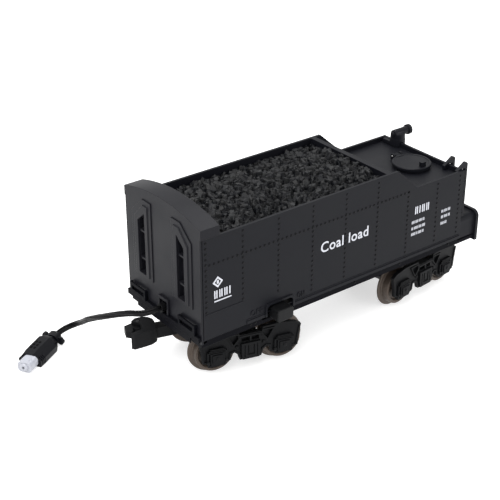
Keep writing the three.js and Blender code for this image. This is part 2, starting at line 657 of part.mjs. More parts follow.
// Cross-beam between the sideframes, with the kingpin boss and the tongue that carries the coupler.
function bolster() {
  const inner = SIDEFRAME_FACE - SIDEFRAME_THICKNESS - GAP;
  const half = WHEELBASE / 2 - FLANGE_RADIUS - 0.5;
  const beam = block([-half, half], [-inner, inner], [4.6, 8.2]);
  const boss = rod(6.4, "z", [0, 0], [5, AXLE_DROP - GAP], 24);
  const tongueZ = [COUPLER_HEIGHT - 3.6, COUPLER_HEIGHT - 1.2 - GAP];
  const tongue = block([-COUPLER_PIVOT - 3.6, 2], [-4, 4], tongueZ);
  const pivot = rod(1.2 + GAP, "z", [-COUPLER_PIVOT, 0], [tongueZ[0] - 1, tongueZ[1] + 1], 12);
  const hole = rod(KINGPIN_HOLE, "z", [0, 0], [0, AXLE_DROP], 16);
  const headroom = rod(3.4 + GAP, "z", [0, 0], [0, 4.8], 16);
  return cut(join(beam, boss, tongue), pivot, hole, headroom);
}

function wheel(side) {
  const bore = AXLE_RADIUS + GAP;
  const tread = TREAD_RADIUS;
  const profile = [
    [bore, 0.4],
    [4, 0.4],
    [8.6, 0.9],
    [tread - 0.4, 0],
    [FLANGE_RADIUS - 0.4, 0],
    [FLANGE_RADIUS, 0.5],
    [FLANGE_RADIUS - 0.3, FLANGE_WIDTH],
    [tread, FLANGE_WIDTH + 0.8],
    [tread - TREAD_TAPER, WHEEL_WIDTH],
    [8.4, WHEEL_WIDTH],
    [7.8, WHEEL_WIDTH - 1.6],
    [3.8, WHEEL_WIDTH - 1.6],
    [3.2, WHEEL_WIDTH - 0.2],
    [bore, WHEEL_WIDTH - 0.2],
  ];
  const disc = turned([...profile, profile[0]], 20);
  const placed = side > 0 ? disc : disc.rotate([180, 0, 0]);
  return placed.translate([0, (side * BACK_TO_BACK) / 2, 0]);
}

function axle() {
  const half = BACK_TO_BACK / 2 + WHEEL_WIDTH + 0.1;
  const end = SIDEFRAME_FACE - SIDEFRAME_THICKNESS + 0.8;
  return join(
    rod(AXLE_RADIUS, "y", [0, 0], [-half, half], 10),
    rod(AXLE_RADIUS * 0.6, "y", [0, 0], [-end, end], 8),
  );
}

// Knuckle coupler pointing along -X, drawn about the truck's middle.
const KNUCKLE_PIN = [-COUPLER_REACH - 1.4, 4.4];
const HEAD_Z = [COUPLER_HEIGHT - COUPLER_DROP, COUPLER_HEIGHT + COUPLER_RISE];
const JAW_Z = [HEAD_Z[0] + COUPLER_FLANGE, HEAD_Z[1] - COUPLER_FLANGE];

function couplerBody() {
  const shankZ = [COUPLER_HEIGHT - 1.2, COUPLER_HEIGHT + 1.8];
  const shank = block([-COUPLER_REACH + 4, -COUPLER_PIVOT + 3], [-2.6, 2.6], shankZ);
  const barrel = block([-COUPLER_REACH + 4, -COUPLER_PIVOT - 6.2], [-2.8, 2.8], [shankZ[0] - 1.2, shankZ[1] + 1.6]);
  const eye = rod(4, "z", [-COUPLER_PIVOT, 0], shankZ, 20);
  const nose = -COUPLER_REACH - COUPLER_HEAD / 2;
  const head = slab(
    outline([
      [-COUPLER_REACH + 6, -3.4],
      [-COUPLER_REACH + 6, 3.6],
      [-COUPLER_REACH + 4.4, 6],
      [-COUPLER_REACH + 1.6, 7.4],
      [-COUPLER_REACH - 2, 7.2],
      [-COUPLER_REACH - 4.4, 5.2],
      [-COUPLER_REACH - 1, 1.4],
      [-COUPLER_REACH - 1.6, -3.6],
      [nose + 2.6, -4.8],
      [nose + 0.6, -5.4],
      [nose, -6.6],
      [nose + 1.4, -7.8],
      [-COUPLER_REACH - 1.6, -7.2],
      [-COUPLER_REACH + 2.4, -6.4],
      [-COUPLER_REACH + 5, -4.8],
    ].reverse()),
    "z",
    HEAD_Z,
  );
  const [kx, ky] = KNUCKLE_PIN;
  const jaw = rod(4.4, "z", [kx, ky], JAW_Z, 24);
  const throat = block([kx - 9, kx - 0.5], [-2.6, ky + 6], JAW_Z);
  const hole = rod(0.9 + GAP, "z", [kx, ky], [HEAD_Z[0] - 1, HEAD_Z[1] + 1], 12);
  const pivot = rod(1.2 + GAP, "z", [-COUPLER_PIVOT, 0], [shankZ[0] - 1, shankZ[1] + 1], 12);
  return cut(join(shank, barrel, eye, head), jaw, throat, hole, pivot);
}

function knuckle() {
  const [kx, ky] = KNUCKLE_PIN;
  const z = [JAW_Z[0] + GAP, JAW_Z[1] - GAP];
  const hub = rod(3.7, "z", [kx, ky], z, 24);
  const finger = slab(
    outline([
      [kx - 1, ky + 3.2],
      [kx - 6.6, ky + 1.2],
      [kx - 7.2, ky - 3.8],
      [kx - 4.6, ky - 5.6],
      [kx - 3.4, ky - 4.2],
      [kx - 3.2, ky - 1.6],
      [kx, ky - 1.6],
    ]),
    "z",
    z,
  );
  return cut(join(hub, finger), rod(0.9 + GAP, "z", [kx, ky], [z[0] - 1, z[1] + 1], 12));
}

function headedPin(radius, [x, y], [z0, z1]) {
  return join(rod(radius, "z", [x, y], [z0, z1], 12), rod(radius * 1.9, "z", [x, y], [z0 - 0.9, z0], 12));
}

function truckParts(end) {
  const group = new THREE.Group();
  const facing = end === "front" ? 0 : 180;
  group.position.set(TRUCK_PIVOTS[end], 0, FLANGE_RADIUS);
  group.rotation.z = THREE.MathUtils.degToRad(TRUCK_TURNS[end] + facing);
  group.add(named(`${end}_truck_bolster`, bolster(), "truck"));
  SIDES.forEach(([name, side]) => {
    group.add(named(`${end}_truck_sideframe_${name}`, sideframe(side), "truck"));
  });
  ["outer", "inner"].forEach((place, i) => {
    const x = ((i ? 1 : -1) * WHEELBASE) / 2;
    const set = new THREE.Group();
    set.position.x = x;
    set.add(named(`${end}_${place}_axle`, axle(), "steel"));
    SIDES.forEach(([name, side]) => {
      set.add(named(`${end}_${place}_wheel_${name}`, wheel(side), "wheel"));
    });
    group.add(set);
  });
  group.add(named(`${end}_coupler_body`, couplerBody(), "truck"));
  group.add(named(`${end}_knuckle`, knuckle(), "truck"));
  group.add(named(`${end}_knuckle_pin`, headedPin(0.9, KNUCKLE_PIN, [HEAD_Z[0] - GAP, HEAD_Z[1]]), "steel"));
  const rivet = [COUPLER_HEIGHT - 3.6 - GAP, COUPLER_HEIGHT + 2.4];
  group.add(named(`${end}_coupler_rivet`, headedPin(1.2, [-COUPLER_PIVOT, 0], rivet), "steel"));
  return group;
}

function kingpin(x) {
  const low = FLANGE_RADIUS + 4.6 - GAP;
  const shaft = rod(KINGPIN_RADIUS, "z", [x, 0], [low, FRAME_Z + FLOOR + 2], 16);
  const head = rod(3.2, "z", [x, 0], [low - 1.6, low], 16);
  const nut = rod(3.2, "z", [x, 0], [FRAME_Z + FLOOR + GAP, FRAME_Z + FLOOR + 2.4], 6);
  return join(shaft, head, nut);
}

// ---------------------------------------------------------------- tether cable and plug
const EXIT_Z = FRAME_Z + CABLE_HEIGHT;
// Route of the cable's middle from the gland to the plug, as points on one smooth curve.
const CABLE_ROUTE = [
  [-3.5, CABLE_Y, EXIT_Z],
  [-4.6, -0.8, 40.02],
  [-6.44, -0.51, 39.77],
  [-9.17, 0.53, 39.25],
  [-11.31, 2.47, 38.61],
  [-12.62, 5.02, 37.87],
  [-13.46, 7.74, 36.97],
  [-14.22, 10.39, 35.87],
  [-14.93, 13.02, 34.65],
  [-15.57, 15.63, 33.38],
  [-16.15, 18.23, 32.06],
  [-16.65, 20.84, 30.7],
  [-17.07, 23.44, 29.33],
  [-17.4, 26.05, 27.94],
  [-17.63, 28.67, 26.54],
  [-17.77, 31.29, 25.12],
  [-17.84, 33.89, 23.68],
  [-17.83, 36.46, 22.17],
  [-17.72, 38.99, 20.62],
  [-17.54, 41.5, 19.02],
  [-17.26, 43.96, 17.37],
  [-16.84, 46.36, 15.67],
  [-16.36, 48.73, 13.93],
  [-15.88, 51.12, 12.22],
  [-15.5, 53.56, 10.56],
  [-15.42, 56.07, 8.96],
  [-16.09, 58.49, 7.39],
  [-17.68, 60.56, 5.99],
  [-20.04, 61.91, 4.83],
  [-22.85, 62.2, 3.95],
  [-25.63, 61.36, 3.35],
  [-26.4, 60.9, 3.3],
];
const CABLE_STEPS = 30;

function cableCurve() {
  const points = CABLE_ROUTE.map((p) => new THREE.Vector3(...p));
  return new THREE.CatmullRomCurve3(points, false, "centripetal");
}

function cable() {
  const r = CABLE_DIAMETER / 2;
  const section = outline(
    Array.from({ length: 8 }, (_, i) => [r * Math.cos((i * Math.PI) / 4), r * Math.sin((i * Math.PI) / 4)]),
  );
  const options = { steps: CABLE_STEPS, extrudePath: cableCurve(), bevelEnabled: false };
  return solidOf(new THREE.ExtrudeGeometry(section, options));
}

function cableGland() {
  const at = [CABLE_Y, EXIT_Z];
  return join(
    rod(2.6 - GAP, "x", at, [-3.1, PANEL + 4], 16),
    rod(4.2, "x", at, [PANEL + GAP, PANEL + 3], 16),
  );
}

// The plug lies on the floor, drawn along +X from the cable's end and turned to follow it.
const PLUG_TURN = 211;
const PLUG_HEIGHT = 7;
const PLUG_HALF = 5.4;
const PLUG_END = 24.5;
const NOSE_HALF = 3.8;
const NOSE_END = 32.5;
function plugGroup() {
  const end = CABLE_ROUTE.at(-1);
  const group = new THREE.Group();
  group.position.set(end[0], end[1], 0);
  group.rotation.z = THREE.MathUtils.degToRad(PLUG_TURN);
  const neck = block([0.4, 4.6], [-2.8, 2.8], [0.4, 6.2]);
  const ears = [-4.6, 4.6].map((y) => block([1.6, 3.6], [y - 1.5, y + 1.5], [0.4, 5.4]));
  const wing = block([1.6, 3.6], [-5, 5], [0.4, 4.4]);
  const housing = join(
    slab(
      outline([
        [4.9, -3.2],
        [8, -PLUG_HALF],
        [PLUG_END, -PLUG_HALF],
        [PLUG_END, PLUG_HALF],
        [8, PLUG_HALF],
        [4.9, 3.2],
      ]),
      "z",
      [0.1, PLUG_HEIGHT],
    ),
    block([PLUG_END - 6.4, PLUG_END + 2], [-PLUG_HALF - 1, -PLUG_HALF + 0.6], [2, 5]),
  );
  const sockets = [-1, 1].map((y) => block([NOSE_END - 3.5, NOSE_END + 1], [y - 0.6, y + 0.6], [2.4, 4.2]));
  const tip = cut(block([PLUG_END + GAP, NOSE_END], [-NOSE_HALF, NOSE_HALF], [0.6, 6.2]), ...sockets);
  group.add(named("plug_collar", join(neck, wing, ...ears), "plug"));
  group.add(named("plug_housing", housing, "plug"));
  group.add(named("plug_connector", tip, "clear"));
  return group;
}

// ---------------------------------------------------------------- the tender
const tender = new THREE.Group();
tender.add(
  named("underframe", underframe(), "frame"),
  named("body_shell", bodyShell(), "body"),
  named("front_panel", frontPanel(), "panel"),
  named("front_beam", frontBeam(), "frame"),
  named("coal_load", coalLoad(), "coal"),
  named("tool_box", toolBox(), "body"),
  named("rear_ladder", rearLadder(), "body"),
  named("hatch_collar", hatchCollar(), "body"),
  named("hatch_lid", hatchLid(), "body"),
  named("hatch_pin", hatchPin(), "steel"),
  named("lamp_post", lampPost(), "body"),
  named("lamp_housing", lampHousing(), "body"),
  named("lamp_lens", lampLens(), "clear"),
  named("switch_housing", switchHousing(), "truck"),
  named("switch_knob", switchKnob(), "truck"),
  named("circuit_board", circuitBoard(), "board"),
  named("speaker", speaker(), "cell"),
  named("battery", battery(), "cell"),
  named("front_kingpin", kingpin(TRUCK_PIVOTS.front), "steel"),
  named("rear_kingpin", kingpin(TRUCK_PIVOTS.rear), "steel"),
  named("cable_gland", cableGland(), "rubber"),
);
Object.entries(SCREW_SPOTS).forEach(([end, x]) => {
  SIDES.forEach(([name, side]) => {
    tender.add(named(`body_screw_${end}_${name}`, bodyScrew(x, side * SCREW_Y), "steel"));
  });
});
tender.add(truckParts("front"), truckParts("rear"));

// The origin is under the middle of the tender's box, without the cable and its plug.
tender.updateMatrixWorld(true);
const box = new THREE.Box3().setFromObject(tender, true);
const middle = box.getCenter(new THREE.Vector3());
tender.add(named("cable", cable(), "rubber"), plugGroup());
tender.position.set(-middle.x, -middle.y, -box.min.z);

const root = new THREE.Group();
root.add(tender);

export default root;
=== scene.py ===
"""An O gauge coal tender with knuckle couplers, a slide switch and a tether cable."""

import math

import bmesh
import bpy
import numpy as np
from bpy.props import FloatProperty, FloatVectorProperty, IntProperty, PointerProperty
from mathutils import Matrix, Vector


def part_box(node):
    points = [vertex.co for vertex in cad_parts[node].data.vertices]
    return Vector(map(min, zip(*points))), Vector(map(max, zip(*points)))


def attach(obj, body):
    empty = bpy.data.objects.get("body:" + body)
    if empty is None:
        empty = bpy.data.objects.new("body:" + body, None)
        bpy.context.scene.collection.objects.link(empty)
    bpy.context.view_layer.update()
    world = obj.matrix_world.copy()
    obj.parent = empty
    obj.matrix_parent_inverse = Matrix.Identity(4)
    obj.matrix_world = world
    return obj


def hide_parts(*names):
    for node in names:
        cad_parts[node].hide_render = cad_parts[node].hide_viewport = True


bl_info = {
    "name": "Coal Tender",
    "version": (1, 0, 0),
    "blender": (4, 5, 0),
    "location": "3D View > Sidebar > Tender",
    "description": "Builds a model coal tender around its packed frame",
    "category": "Object",
}

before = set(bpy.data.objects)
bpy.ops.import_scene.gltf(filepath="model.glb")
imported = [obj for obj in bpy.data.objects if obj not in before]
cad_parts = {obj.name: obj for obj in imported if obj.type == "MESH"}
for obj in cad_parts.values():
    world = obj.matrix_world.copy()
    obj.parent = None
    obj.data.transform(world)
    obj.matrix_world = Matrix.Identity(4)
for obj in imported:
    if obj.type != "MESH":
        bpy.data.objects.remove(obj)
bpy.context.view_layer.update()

# ------------------------------------------------------------------ places
# The tender is drawn in millimetres: x back from the front panel's face, y from the
# centreline and z up from the rails. A truck has its own frame on its axle line, with
# -x at its outer end.
MM = 0.001
PANEL_LOW, PANEL_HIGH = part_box("front_panel")
SHELL_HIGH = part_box("body_shell")[1]
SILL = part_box("underframe")[0].z / MM
CENTRE_Y = (PANEL_LOW.y + PANEL_HIGH.y) / 2
TENDER = Matrix.Translation((PANEL_LOW.x, CENTRE_Y, 0)) @ Matrix.Scale(MM, 4)


def tender_span(node):
    """A node's lowest and highest corners in tender millimetres."""
    inverse = TENDER.inverted()
    return [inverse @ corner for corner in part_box(node)]


def middle(node):
    low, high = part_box(node)
    return (low + high) / 2


def truck_place(end):
    """The matrix from a truck's own millimetres to the row frame."""
    outer, inner = middle(f"{end}_outer_axle"), middle(f"{end}_inner_axle")
    along = (inner - outer).normalized()
    up = Vector((0, 0, 1))
    turn = Matrix((along, up.cross(along), up)).transposed().to_4x4()
    return Matrix.Translation((outer + inner) / 2) @ turn @ Matrix.Scale(MM, 4)


TRUCKS = {end: truck_place(end) for end in ("front", "rear")}

BODY_LENGTH = 168.5
HALF = 30.0
WALL_FOOT = SILL + 4.0
WALL_TOP = SHELL_HIGH.z / MM

CABLE_ROUTE = [
    (-3.5, -0.8, 40.05),
    (-4.6, -0.8, 40.02),
    (-6.44, -0.51, 39.77),
    (-9.17, 0.53, 39.25),
    (-11.31, 2.47, 38.61),
    (-12.62, 5.02, 37.87),
    (-13.46, 7.74, 36.97),
    (-14.22, 10.39, 35.87),
    (-14.93, 13.02, 34.65),
    (-15.57, 15.63, 33.38),
    (-16.15, 18.23, 32.06),
    (-16.65, 20.84, 30.7),
    (-17.07, 23.44, 29.33),
    (-17.4, 26.05, 27.94),
    (-17.63, 28.67, 26.54),
    (-17.77, 31.29, 25.12),
    (-17.84, 33.89, 23.68),
    (-17.83, 36.46, 22.17),
    (-17.72, 38.99, 20.62),
    (-17.54, 41.5, 19.02),
    (-17.26, 43.96, 17.37),
    (-16.84, 46.36, 15.67),
    (-16.36, 48.73, 13.93),
    (-15.88, 51.12, 12.22),
    (-15.5, 53.56, 10.56),
    (-15.42, 56.07, 8.96),
    (-16.09, 58.49, 7.39),
    (-17.68, 60.56, 5.99),
    (-20.04, 61.91, 4.83),
    (-22.85, 62.2, 3.95),
    (-25.63, 61.36, 3.35),
    (-26.4, 60.9, 3.3),
]
PLUG_TURN = 211


# ------------------------------------------------------------------ settings
class TenderSizes(bpy.types.PropertyGroup):
    rivet_radius: FloatProperty(
        name="Rivet radius", description="Radius of a wall rivet's head", default=0.00066, unit="LENGTH"
    )
    rivet_rise: FloatProperty(
        name="Rivet rise", description="Height of a rivet's head", default=0.00038, unit="LENGTH"
    )
    rivet_pitch: FloatProperty(
        name="Rivet pitch", description="Distance between rivets", default=0.0026, unit="LENGTH"
    )
    lump: FloatProperty(
        name="Coal lump", description="Typical half width of a lump of coal", default=0.0013, unit="LENGTH"
    )
    lump_seed: IntProperty(name="Coal seed", description="Seed of the coal's lumps", default=7)
    cable_diameter: FloatProperty(
        name="Cable diameter", description="Across the bundle of wires", default=0.0032, unit="LENGTH"
    )
    wires: IntProperty(name="Wires", description="Wires in the cable", default=5, min=3, max=7)
    wall_lettering: FloatProperty(
        name="Lettering height",
        description="Height of the word on the walls",
        default=0.0056,
        unit="LENGTH",
    )


def colour_setting(name, description, default):
    return FloatVectorProperty(name=name, description=description, subtype="COLOR", size=3, default=default)


class TenderColours(bpy.types.PropertyGroup):
    body: colour_setting("Body", "Moulded walls", (0.004, 0.0043, 0.0062))
    panel: colour_setting("Front panel", "Front panel and hood", (0.0062, 0.0063, 0.0084))
    sill: colour_setting("Underframe", "Underframe and beam", (0.002, 0.0021, 0.0034))
    truck: colour_setting("Trucks", "Truck castings and couplers", (0.003, 0.0032, 0.0038))
    wheel: colour_setting("Wheels", "Browned wheel metal", (0.05, 0.036, 0.027))
    lettering: colour_setting("Lettering", "White markings", (0.44, 0.45, 0.49))


# ------------------------------------------------------------------ shapes
# Edges sharper than this many degrees are rounded, and stay creased in the shading.
CREASE = 32


def on_axis(axis, u, v, w):
    """A point from its place (u, v) across an axis and w along it."""
    return {"x": (w, u, v), "y": (u, w, v), "z": (u, v, w)}[axis]


def prism(outline, axis, span):
    """A closed prism over an outline drawn across the axis."""
    bm = bmesh.new()
    low, high = ([bm.verts.new(on_axis(axis, u, v, w)) for u, v in outline] for w in span)
    bm.faces.new(low)
    bm.faces.new(reversed(high))
    for i, corner in enumerate(low):
        after = (i + 1) % len(low)
        bm.faces.new((corner, high[i], high[after], low[after]))
    bmesh.ops.recalc_face_normals(bm, faces=bm.faces)
    return bm


def block(xs, ys, zs):
    return prism([(xs[0], ys[0]), (xs[1], ys[0]), (xs[1], ys[1]), (xs[0], ys[1])], "z", zs)


def arc(centre, radius, start, end, steps):
    """Points on an arc, angles in degrees."""
    turns = [math.radians(start + (end - start) * i / steps) for i in range(steps + 1)]
    return [(centre[0] + radius * math.cos(t), centre[1] + radius * math.sin(t)) for t in turns]


def rounded(us, vs, radius, steps=5):
    corners = [(us[1], vs[0], 1, -1), (us[1], vs[1], 1, 1), (us[0], vs[1], -1, 1), (us[0], vs[0], -1, -1)]
    points = []
    for i, (u, v, su, sv) in enumerate(corners):
        start = -90 + 90 * i
        points += arc((u - su * radius, v - sv * radius), radius, start, start + 90, steps)
    return points


def turned(profile, axis, at, steps=48):
    """A solid of revolution from (radius, place along the axis) points. A closed profile makes a ring."""
    bm = bmesh.new()
    looped = profile[0] == profile[-1]
    rings = []
    for radius, w in profile[:-1] if looped else profile:
        if radius <= 0:
            rings.append([bm.verts.new(on_axis(axis, at[0], at[1], w))])
            continue
        circle = arc(at, radius, 0, 360 - 360 / steps, steps - 1)
        rings.append([bm.verts.new(on_axis(axis, u, v, w)) for u, v in circle])
    pairs = list(zip(rings, rings[1:] + rings[:1] if looped else rings[1:]))
    for low, high in pairs:
        for i in range(steps):
            j = (i + 1) % steps
            ring = [low[i % len(low)], low[j % len(low)], high[j % len(high)], high[i % len(high)]]
            corners = list(dict.fromkeys(ring))
            if len(corners) > 2:
                bm.faces.new(corners)
    bmesh.ops.recalc_face_normals(bm, faces=bm.faces)
    return bm


def rod(radius, span, axis, at, steps):
    """A plain round bar."""
    return turned([(0, span[0]), (radius, span[0]), (radius, span[1]), (0, span[1])], axis, at, steps)


def moved(bm, x=0.0, y=0.0, z=0.0):
    bmesh.ops.translate(bm, verts=bm.verts, vec=(x, y, z))
    return bm


def rolled(bm, degrees, axis, centre=(0, 0, 0)):
    bmesh.ops.rotate(bm, verts=bm.verts, cent=centre, matrix=Matrix.Rotation(math.radians(degrees), 3, axis))
    return bm


def mesh_of(bm, name="shape"):
    mesh = bpy.data.meshes.new(name)
    bm.to_mesh(mesh)
    bm.free()
    return mesh


def reopened(mesh):
    """A mesh made ready to edit."""
    bm = bmesh.new()
    bm.from_mesh(mesh)
    return bm


def linked(name, mesh):
    obj = bpy.data.objects.new(name, mesh)
    bpy.context.scene.collection.objects.link(obj)
    return obj


def settled(obj):
    """The object's mesh with its modifiers applied. The object is removed."""
    bpy.context.view_layer.update()
    evaluated = obj.evaluated_get(bpy.context.evaluated_depsgraph_get())
    mesh = bpy.data.meshes.new_from_object(evaluated)
    bpy.data.objects.remove(obj)
    return mesh


def carved(base, adds=(), cuts=()):
    """The base with solids joined to it, and then solids cut from it, as one mesh."""
    body = linked("carving", mesh_of(base))
    tools = []
    for operation, solids in (("UNION", adds), ("DIFFERENCE", cuts)):
        for solid in solids:
            tool = linked("tool", mesh_of(solid))
            tools.append(tool)
            modifier = body.modifiers.new("carve", "BOOLEAN")
            modifier.operation = operation
            modifier.solver = "EXACT"
            modifier.object = tool
    mesh = settled(body)
    for tool in tools:
        bpy.data.objects.remove(tool)
    return mesh


def gathered(meshes):
    """One mesh from several."""
    bm = bmesh.new()
    for mesh in meshes:
        bm.from_mesh(mesh)
    return mesh_of(bm)


def softened(obj, width, segments=2):
    """Rounds an object's edges and shades its curves smooth."""
    if width:
        bevel = obj.modifiers.new("Edges", "BEVEL")
        bevel.width = width * MM
        bevel.segments = segments
        bevel.limit_method = "ANGLE"
        bevel.angle_limit = math.radians(CREASE)
        bevel.use_clamp_overlap = True
        bevel.miter_outer = "MITER_ARC"
        even = obj.modifiers.new("Even shading", "WEIGHTED_NORMAL")
        even.keep_sharp = True


def piece(name, mesh, place, body, finish, nodes=(), width=0.0, segments=2, crease=38):
    """A finished piece: its mesh in the row frame, its edges, its finish and the body it rides on."""
    mesh.name = name
    mesh.transform(place)
    mesh.polygons.foreach_set("use_smooth", [True] * len(mesh.polygons))
    mesh.set_sharp_from_angle(angle=math.radians(crease))
    mesh.materials.clear()
    mesh.materials.append(finish)
    obj = linked(name, mesh)
    softened(obj, width, segments)
    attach(obj, body)
    if nodes:
        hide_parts(*nodes)
    return obj


def dressed(node, finish, width=0.0, segments=2):
    """A node of the frame with rounded edges and its finish."""
    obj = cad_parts[node]
    obj.data.materials.clear()
    obj.data.materials.append(finish)
    weld = obj.modifiers.new("Weld", "WELD")
    weld.merge_threshold = 0.000002
    flatten = obj.modifiers.new("Flatten", "DECIMATE")
    flatten.decimate_type = "DISSOLVE"
    flatten.angle_limit = math.radians(1)
    crease = obj.modifiers.new("Crease", "NODES")
    crease.node_group = crease_tree()
    softened(obj, width, segments)
    return obj


# ------------------------------------------------------------------ geometry nodes
def new_tree(name, inputs):
    """A geometry tree with its geometry sockets and named inputs of (name, socket type, default)."""
    tree = bpy.data.node_groups.new(name, "GeometryNodeTree")
    sockets = tree.interface
    sockets.new_socket("Geometry", in_out="INPUT", socket_type="NodeSocketGeometry")
    sockets.new_socket("Geometry", in_out="OUTPUT", socket_type="NodeSocketGeometry")
    for label, kind, default in inputs:
        socket = sockets.new_socket(label, in_out="INPUT", socket_type=kind)
        if default is not None:
            socket.default_value = default
    return tree, tree.nodes.new("NodeGroupInput"), tree.nodes.new("NodeGroupOutput")


def crease_tree():
    """Shades curved faces smooth and keeps the edges past an angle sharp."""
    name = "crease_by_angle"
    if name in bpy.data.node_groups:
        return bpy.data.node_groups[name]
    tree, start, end = new_tree(name, [("Angle", "NodeSocketFloat", math.radians(CREASE))])
    nodes, links = tree.nodes, tree.links
    faces = nodes.new("GeometryNodeSetShadeSmooth")
    edges = nodes.new("GeometryNodeSetShadeSmooth")
    edges.domain = "EDGE"
    angle = nodes.new("GeometryNodeInputMeshEdgeAngle")
    shallow = nodes.new("FunctionNodeCompare")
    shallow.data_type = "FLOAT"
    shallow.operation = "LESS_THAN"
    links.new(start.outputs["Geometry"], faces.inputs["Geometry"])
    links.new(faces.outputs[0], edges.inputs["Geometry"])
    links.new(angle.outputs["Unsigned Angle"], shallow.inputs["A"])
    links.new(start.outputs["Angle"], shallow.inputs["B"])
    links.new(shallow.outputs["Result"], edges.inputs["Shade Smooth"])
    links.new(edges.outputs[0], end.inputs[0])
    return tree


def rivet_tree():
    """Domed heads at an even pitch along the edges of a mesh of lines."""
    name = "rivet_lines"
    if name in bpy.data.node_groups:
        return bpy.data.node_groups[name]
    inputs = [
        ("Pitch", "NodeSocketFloat", 0.0026),
        ("Head", "NodeSocketVector", None),
        ("Material", "NodeSocketMaterial", None),
    ]
    tree, start, end = new_tree(name, inputs)
    nodes, links = tree.nodes, tree.links
    curve = nodes.new("GeometryNodeMeshToCurve")
    spaced = nodes.new("GeometryNodeResampleCurve")
    spaced.mode = "LENGTH"
    dome = nodes.new("GeometryNodeMeshUVSphere")
    dome.inputs["Segments"].default_value = 10
    dome.inputs["Rings"].default_value = 6
    dome.inputs["Radius"].default_value = 1.0
    shaped = nodes.new("GeometryNodeTransform")
    heads = nodes.new("GeometryNodeInstanceOnPoints")
    real = nodes.new("GeometryNodeRealizeInstances")
    smooth = nodes.new("GeometryNodeSetShadeSmooth")
    finish = nodes.new("GeometryNodeSetMaterial")
    links.new(start.outputs["Geometry"], curve.inputs["Mesh"])
    links.new(curve.outputs["Curve"], spaced.inputs["Curve"])
    links.new(start.outputs["Pitch"], spaced.inputs["Length"])
    links.new(dome.outputs["Mesh"], shaped.inputs["Geometry"])
    links.new(start.outputs["Head"], shaped.inputs["Scale"])
    links.new(spaced.outputs["Curve"], heads.inputs["Points"])
    links.new(shaped.outputs["Geometry"], heads.inputs["Instance"])
    links.new(heads.outputs["Instances"], real.inputs["Geometry"])
    links.new(real.outputs["Geometry"], smooth.inputs["Geometry"])
    links.new(smooth.outputs[0], finish.inputs["Geometry"])
    links.new(start.outputs["Material"], finish.inputs["Material"])
    links.new(finish.outputs["Geometry"], end.inputs[0])
    return tree


def rivet_mesh(lines, pitch, head, finish, place=TENDER):
    """Rivet heads along lines of (start, end) points, as a mesh in the row frame."""
    bm = bmesh.new()
    for a, b in lines:
        bm.edges.new((bm.verts.new(place @ Vector(a)), bm.verts.new(place @ Vector(b))))
    obj = linked("rivet_lines", mesh_of(bm))
    modifier = obj.modifiers.new("Rivets", "NODES")
    modifier.node_group = rivet_tree()
    values = {"Pitch": pitch, "Head": head, "Material": finish}
    for socket in modifier.node_group.interface.items_tree:
        if socket.name in values:
            modifier[socket.identifier] = values[socket.name]
    return settled(obj)


# ------------------------------------------------------------------ finishes
def shader_group(name, inputs, outputs):
    group = bpy.data.node_groups.new(name, "ShaderNodeTree")
    for label, default in inputs:
        socket = group.interface.new_socket(label, in_out="INPUT", socket_type="NodeSocketFloat")
        socket.default_value = default
    for label in outputs:
        group.interface.new_socket(label, in_out="OUTPUT", socket_type="NodeSocketFloat")
    return group, group.nodes.new("NodeGroupInput"), group.nodes.new("NodeGroupOutput")


def maths(nodes, links, operation, *values):
    """A Math node on numbers and outputs, and its result."""
    node = nodes.new("ShaderNodeMath")
    node.operation = operation
    for socket, value in zip(node.inputs, values):
        if isinstance(value, (int, float)):
            socket.default_value = value
        else:
            links.new(value, socket)
    return node.outputs[0]


def noise(nodes, links, scale, detail=3.0):
    """Noise on Object coordinates. Scale is a number or an output."""
    place = nodes.new("ShaderNodeTexCoord").outputs["Object"]
    texture = nodes.new("ShaderNodeTexNoise")
    texture.inputs["Detail"].default_value = detail
    links.new(place, texture.inputs["Vector"])
    if isinstance(scale, (int, float)):
        texture.inputs["Scale"].default_value = scale
    else:
        links.new(scale, texture.inputs["Scale"])
    return texture.outputs["Fac"]


def moulded_grain():
    """The fine stipple of a moulding tool: a height, and a mask of its broader mottling."""
    name = "moulded_grain"
    if name in bpy.data.node_groups:
        return bpy.data.node_groups[name]
    group, start, end = shader_group(name, [("Grain", 2600.0), ("Mottle", 55.0)], ["Height", "Mask"])
    nodes, links = group.nodes, group.links
    fine = noise(nodes, links, start.outputs["Grain"], 2.0)
    broad = noise(nodes, links, start.outputs["Mottle"], 5.0)
    links.new(fine, end.inputs["Height"])
    links.new(broad, end.inputs["Mask"])
    return group


def settled_dust():
    """Dust on faces that look up, broken by noise: a mask."""
    name = "settled_dust"
    if name in bpy.data.node_groups:
        return bpy.data.node_groups[name]
    group, start, end = shader_group(name, [("Amount", 0.3), ("Scale", 90.0)], ["Mask"])
    nodes, links = group.nodes, group.links
    facing = nodes.new("ShaderNodeNewGeometry").outputs["Normal"]
    split = nodes.new("ShaderNodeSeparateXYZ")
    links.new(facing, split.inputs[0])
    up = maths(nodes, links, "MAXIMUM", split.outputs["Z"], 0.0)
    patch = noise(nodes, links, start.outputs["Scale"], 6.0)
    mask = maths(nodes, links, "MULTIPLY", up, patch)
    links.new(maths(nodes, links, "MULTIPLY", mask, start.outputs["Amount"]), end.inputs["Mask"])
    return group


def blended(nodes, links, mask, low, high):
    """A colour between two, by a mask."""
    mix = nodes.new("ShaderNodeMix")
    mix.data_type = "RGBA"
    links.new(mask, mix.inputs["Factor"])
    for socket, colour in ((mix.inputs["A"], low), (mix.inputs["B"], high)):
        if hasattr(colour, "is_output"):
            links.new(colour, socket)
        else:
            socket.default_value = (*colour, 1.0)
    return mix.outputs["Result"]


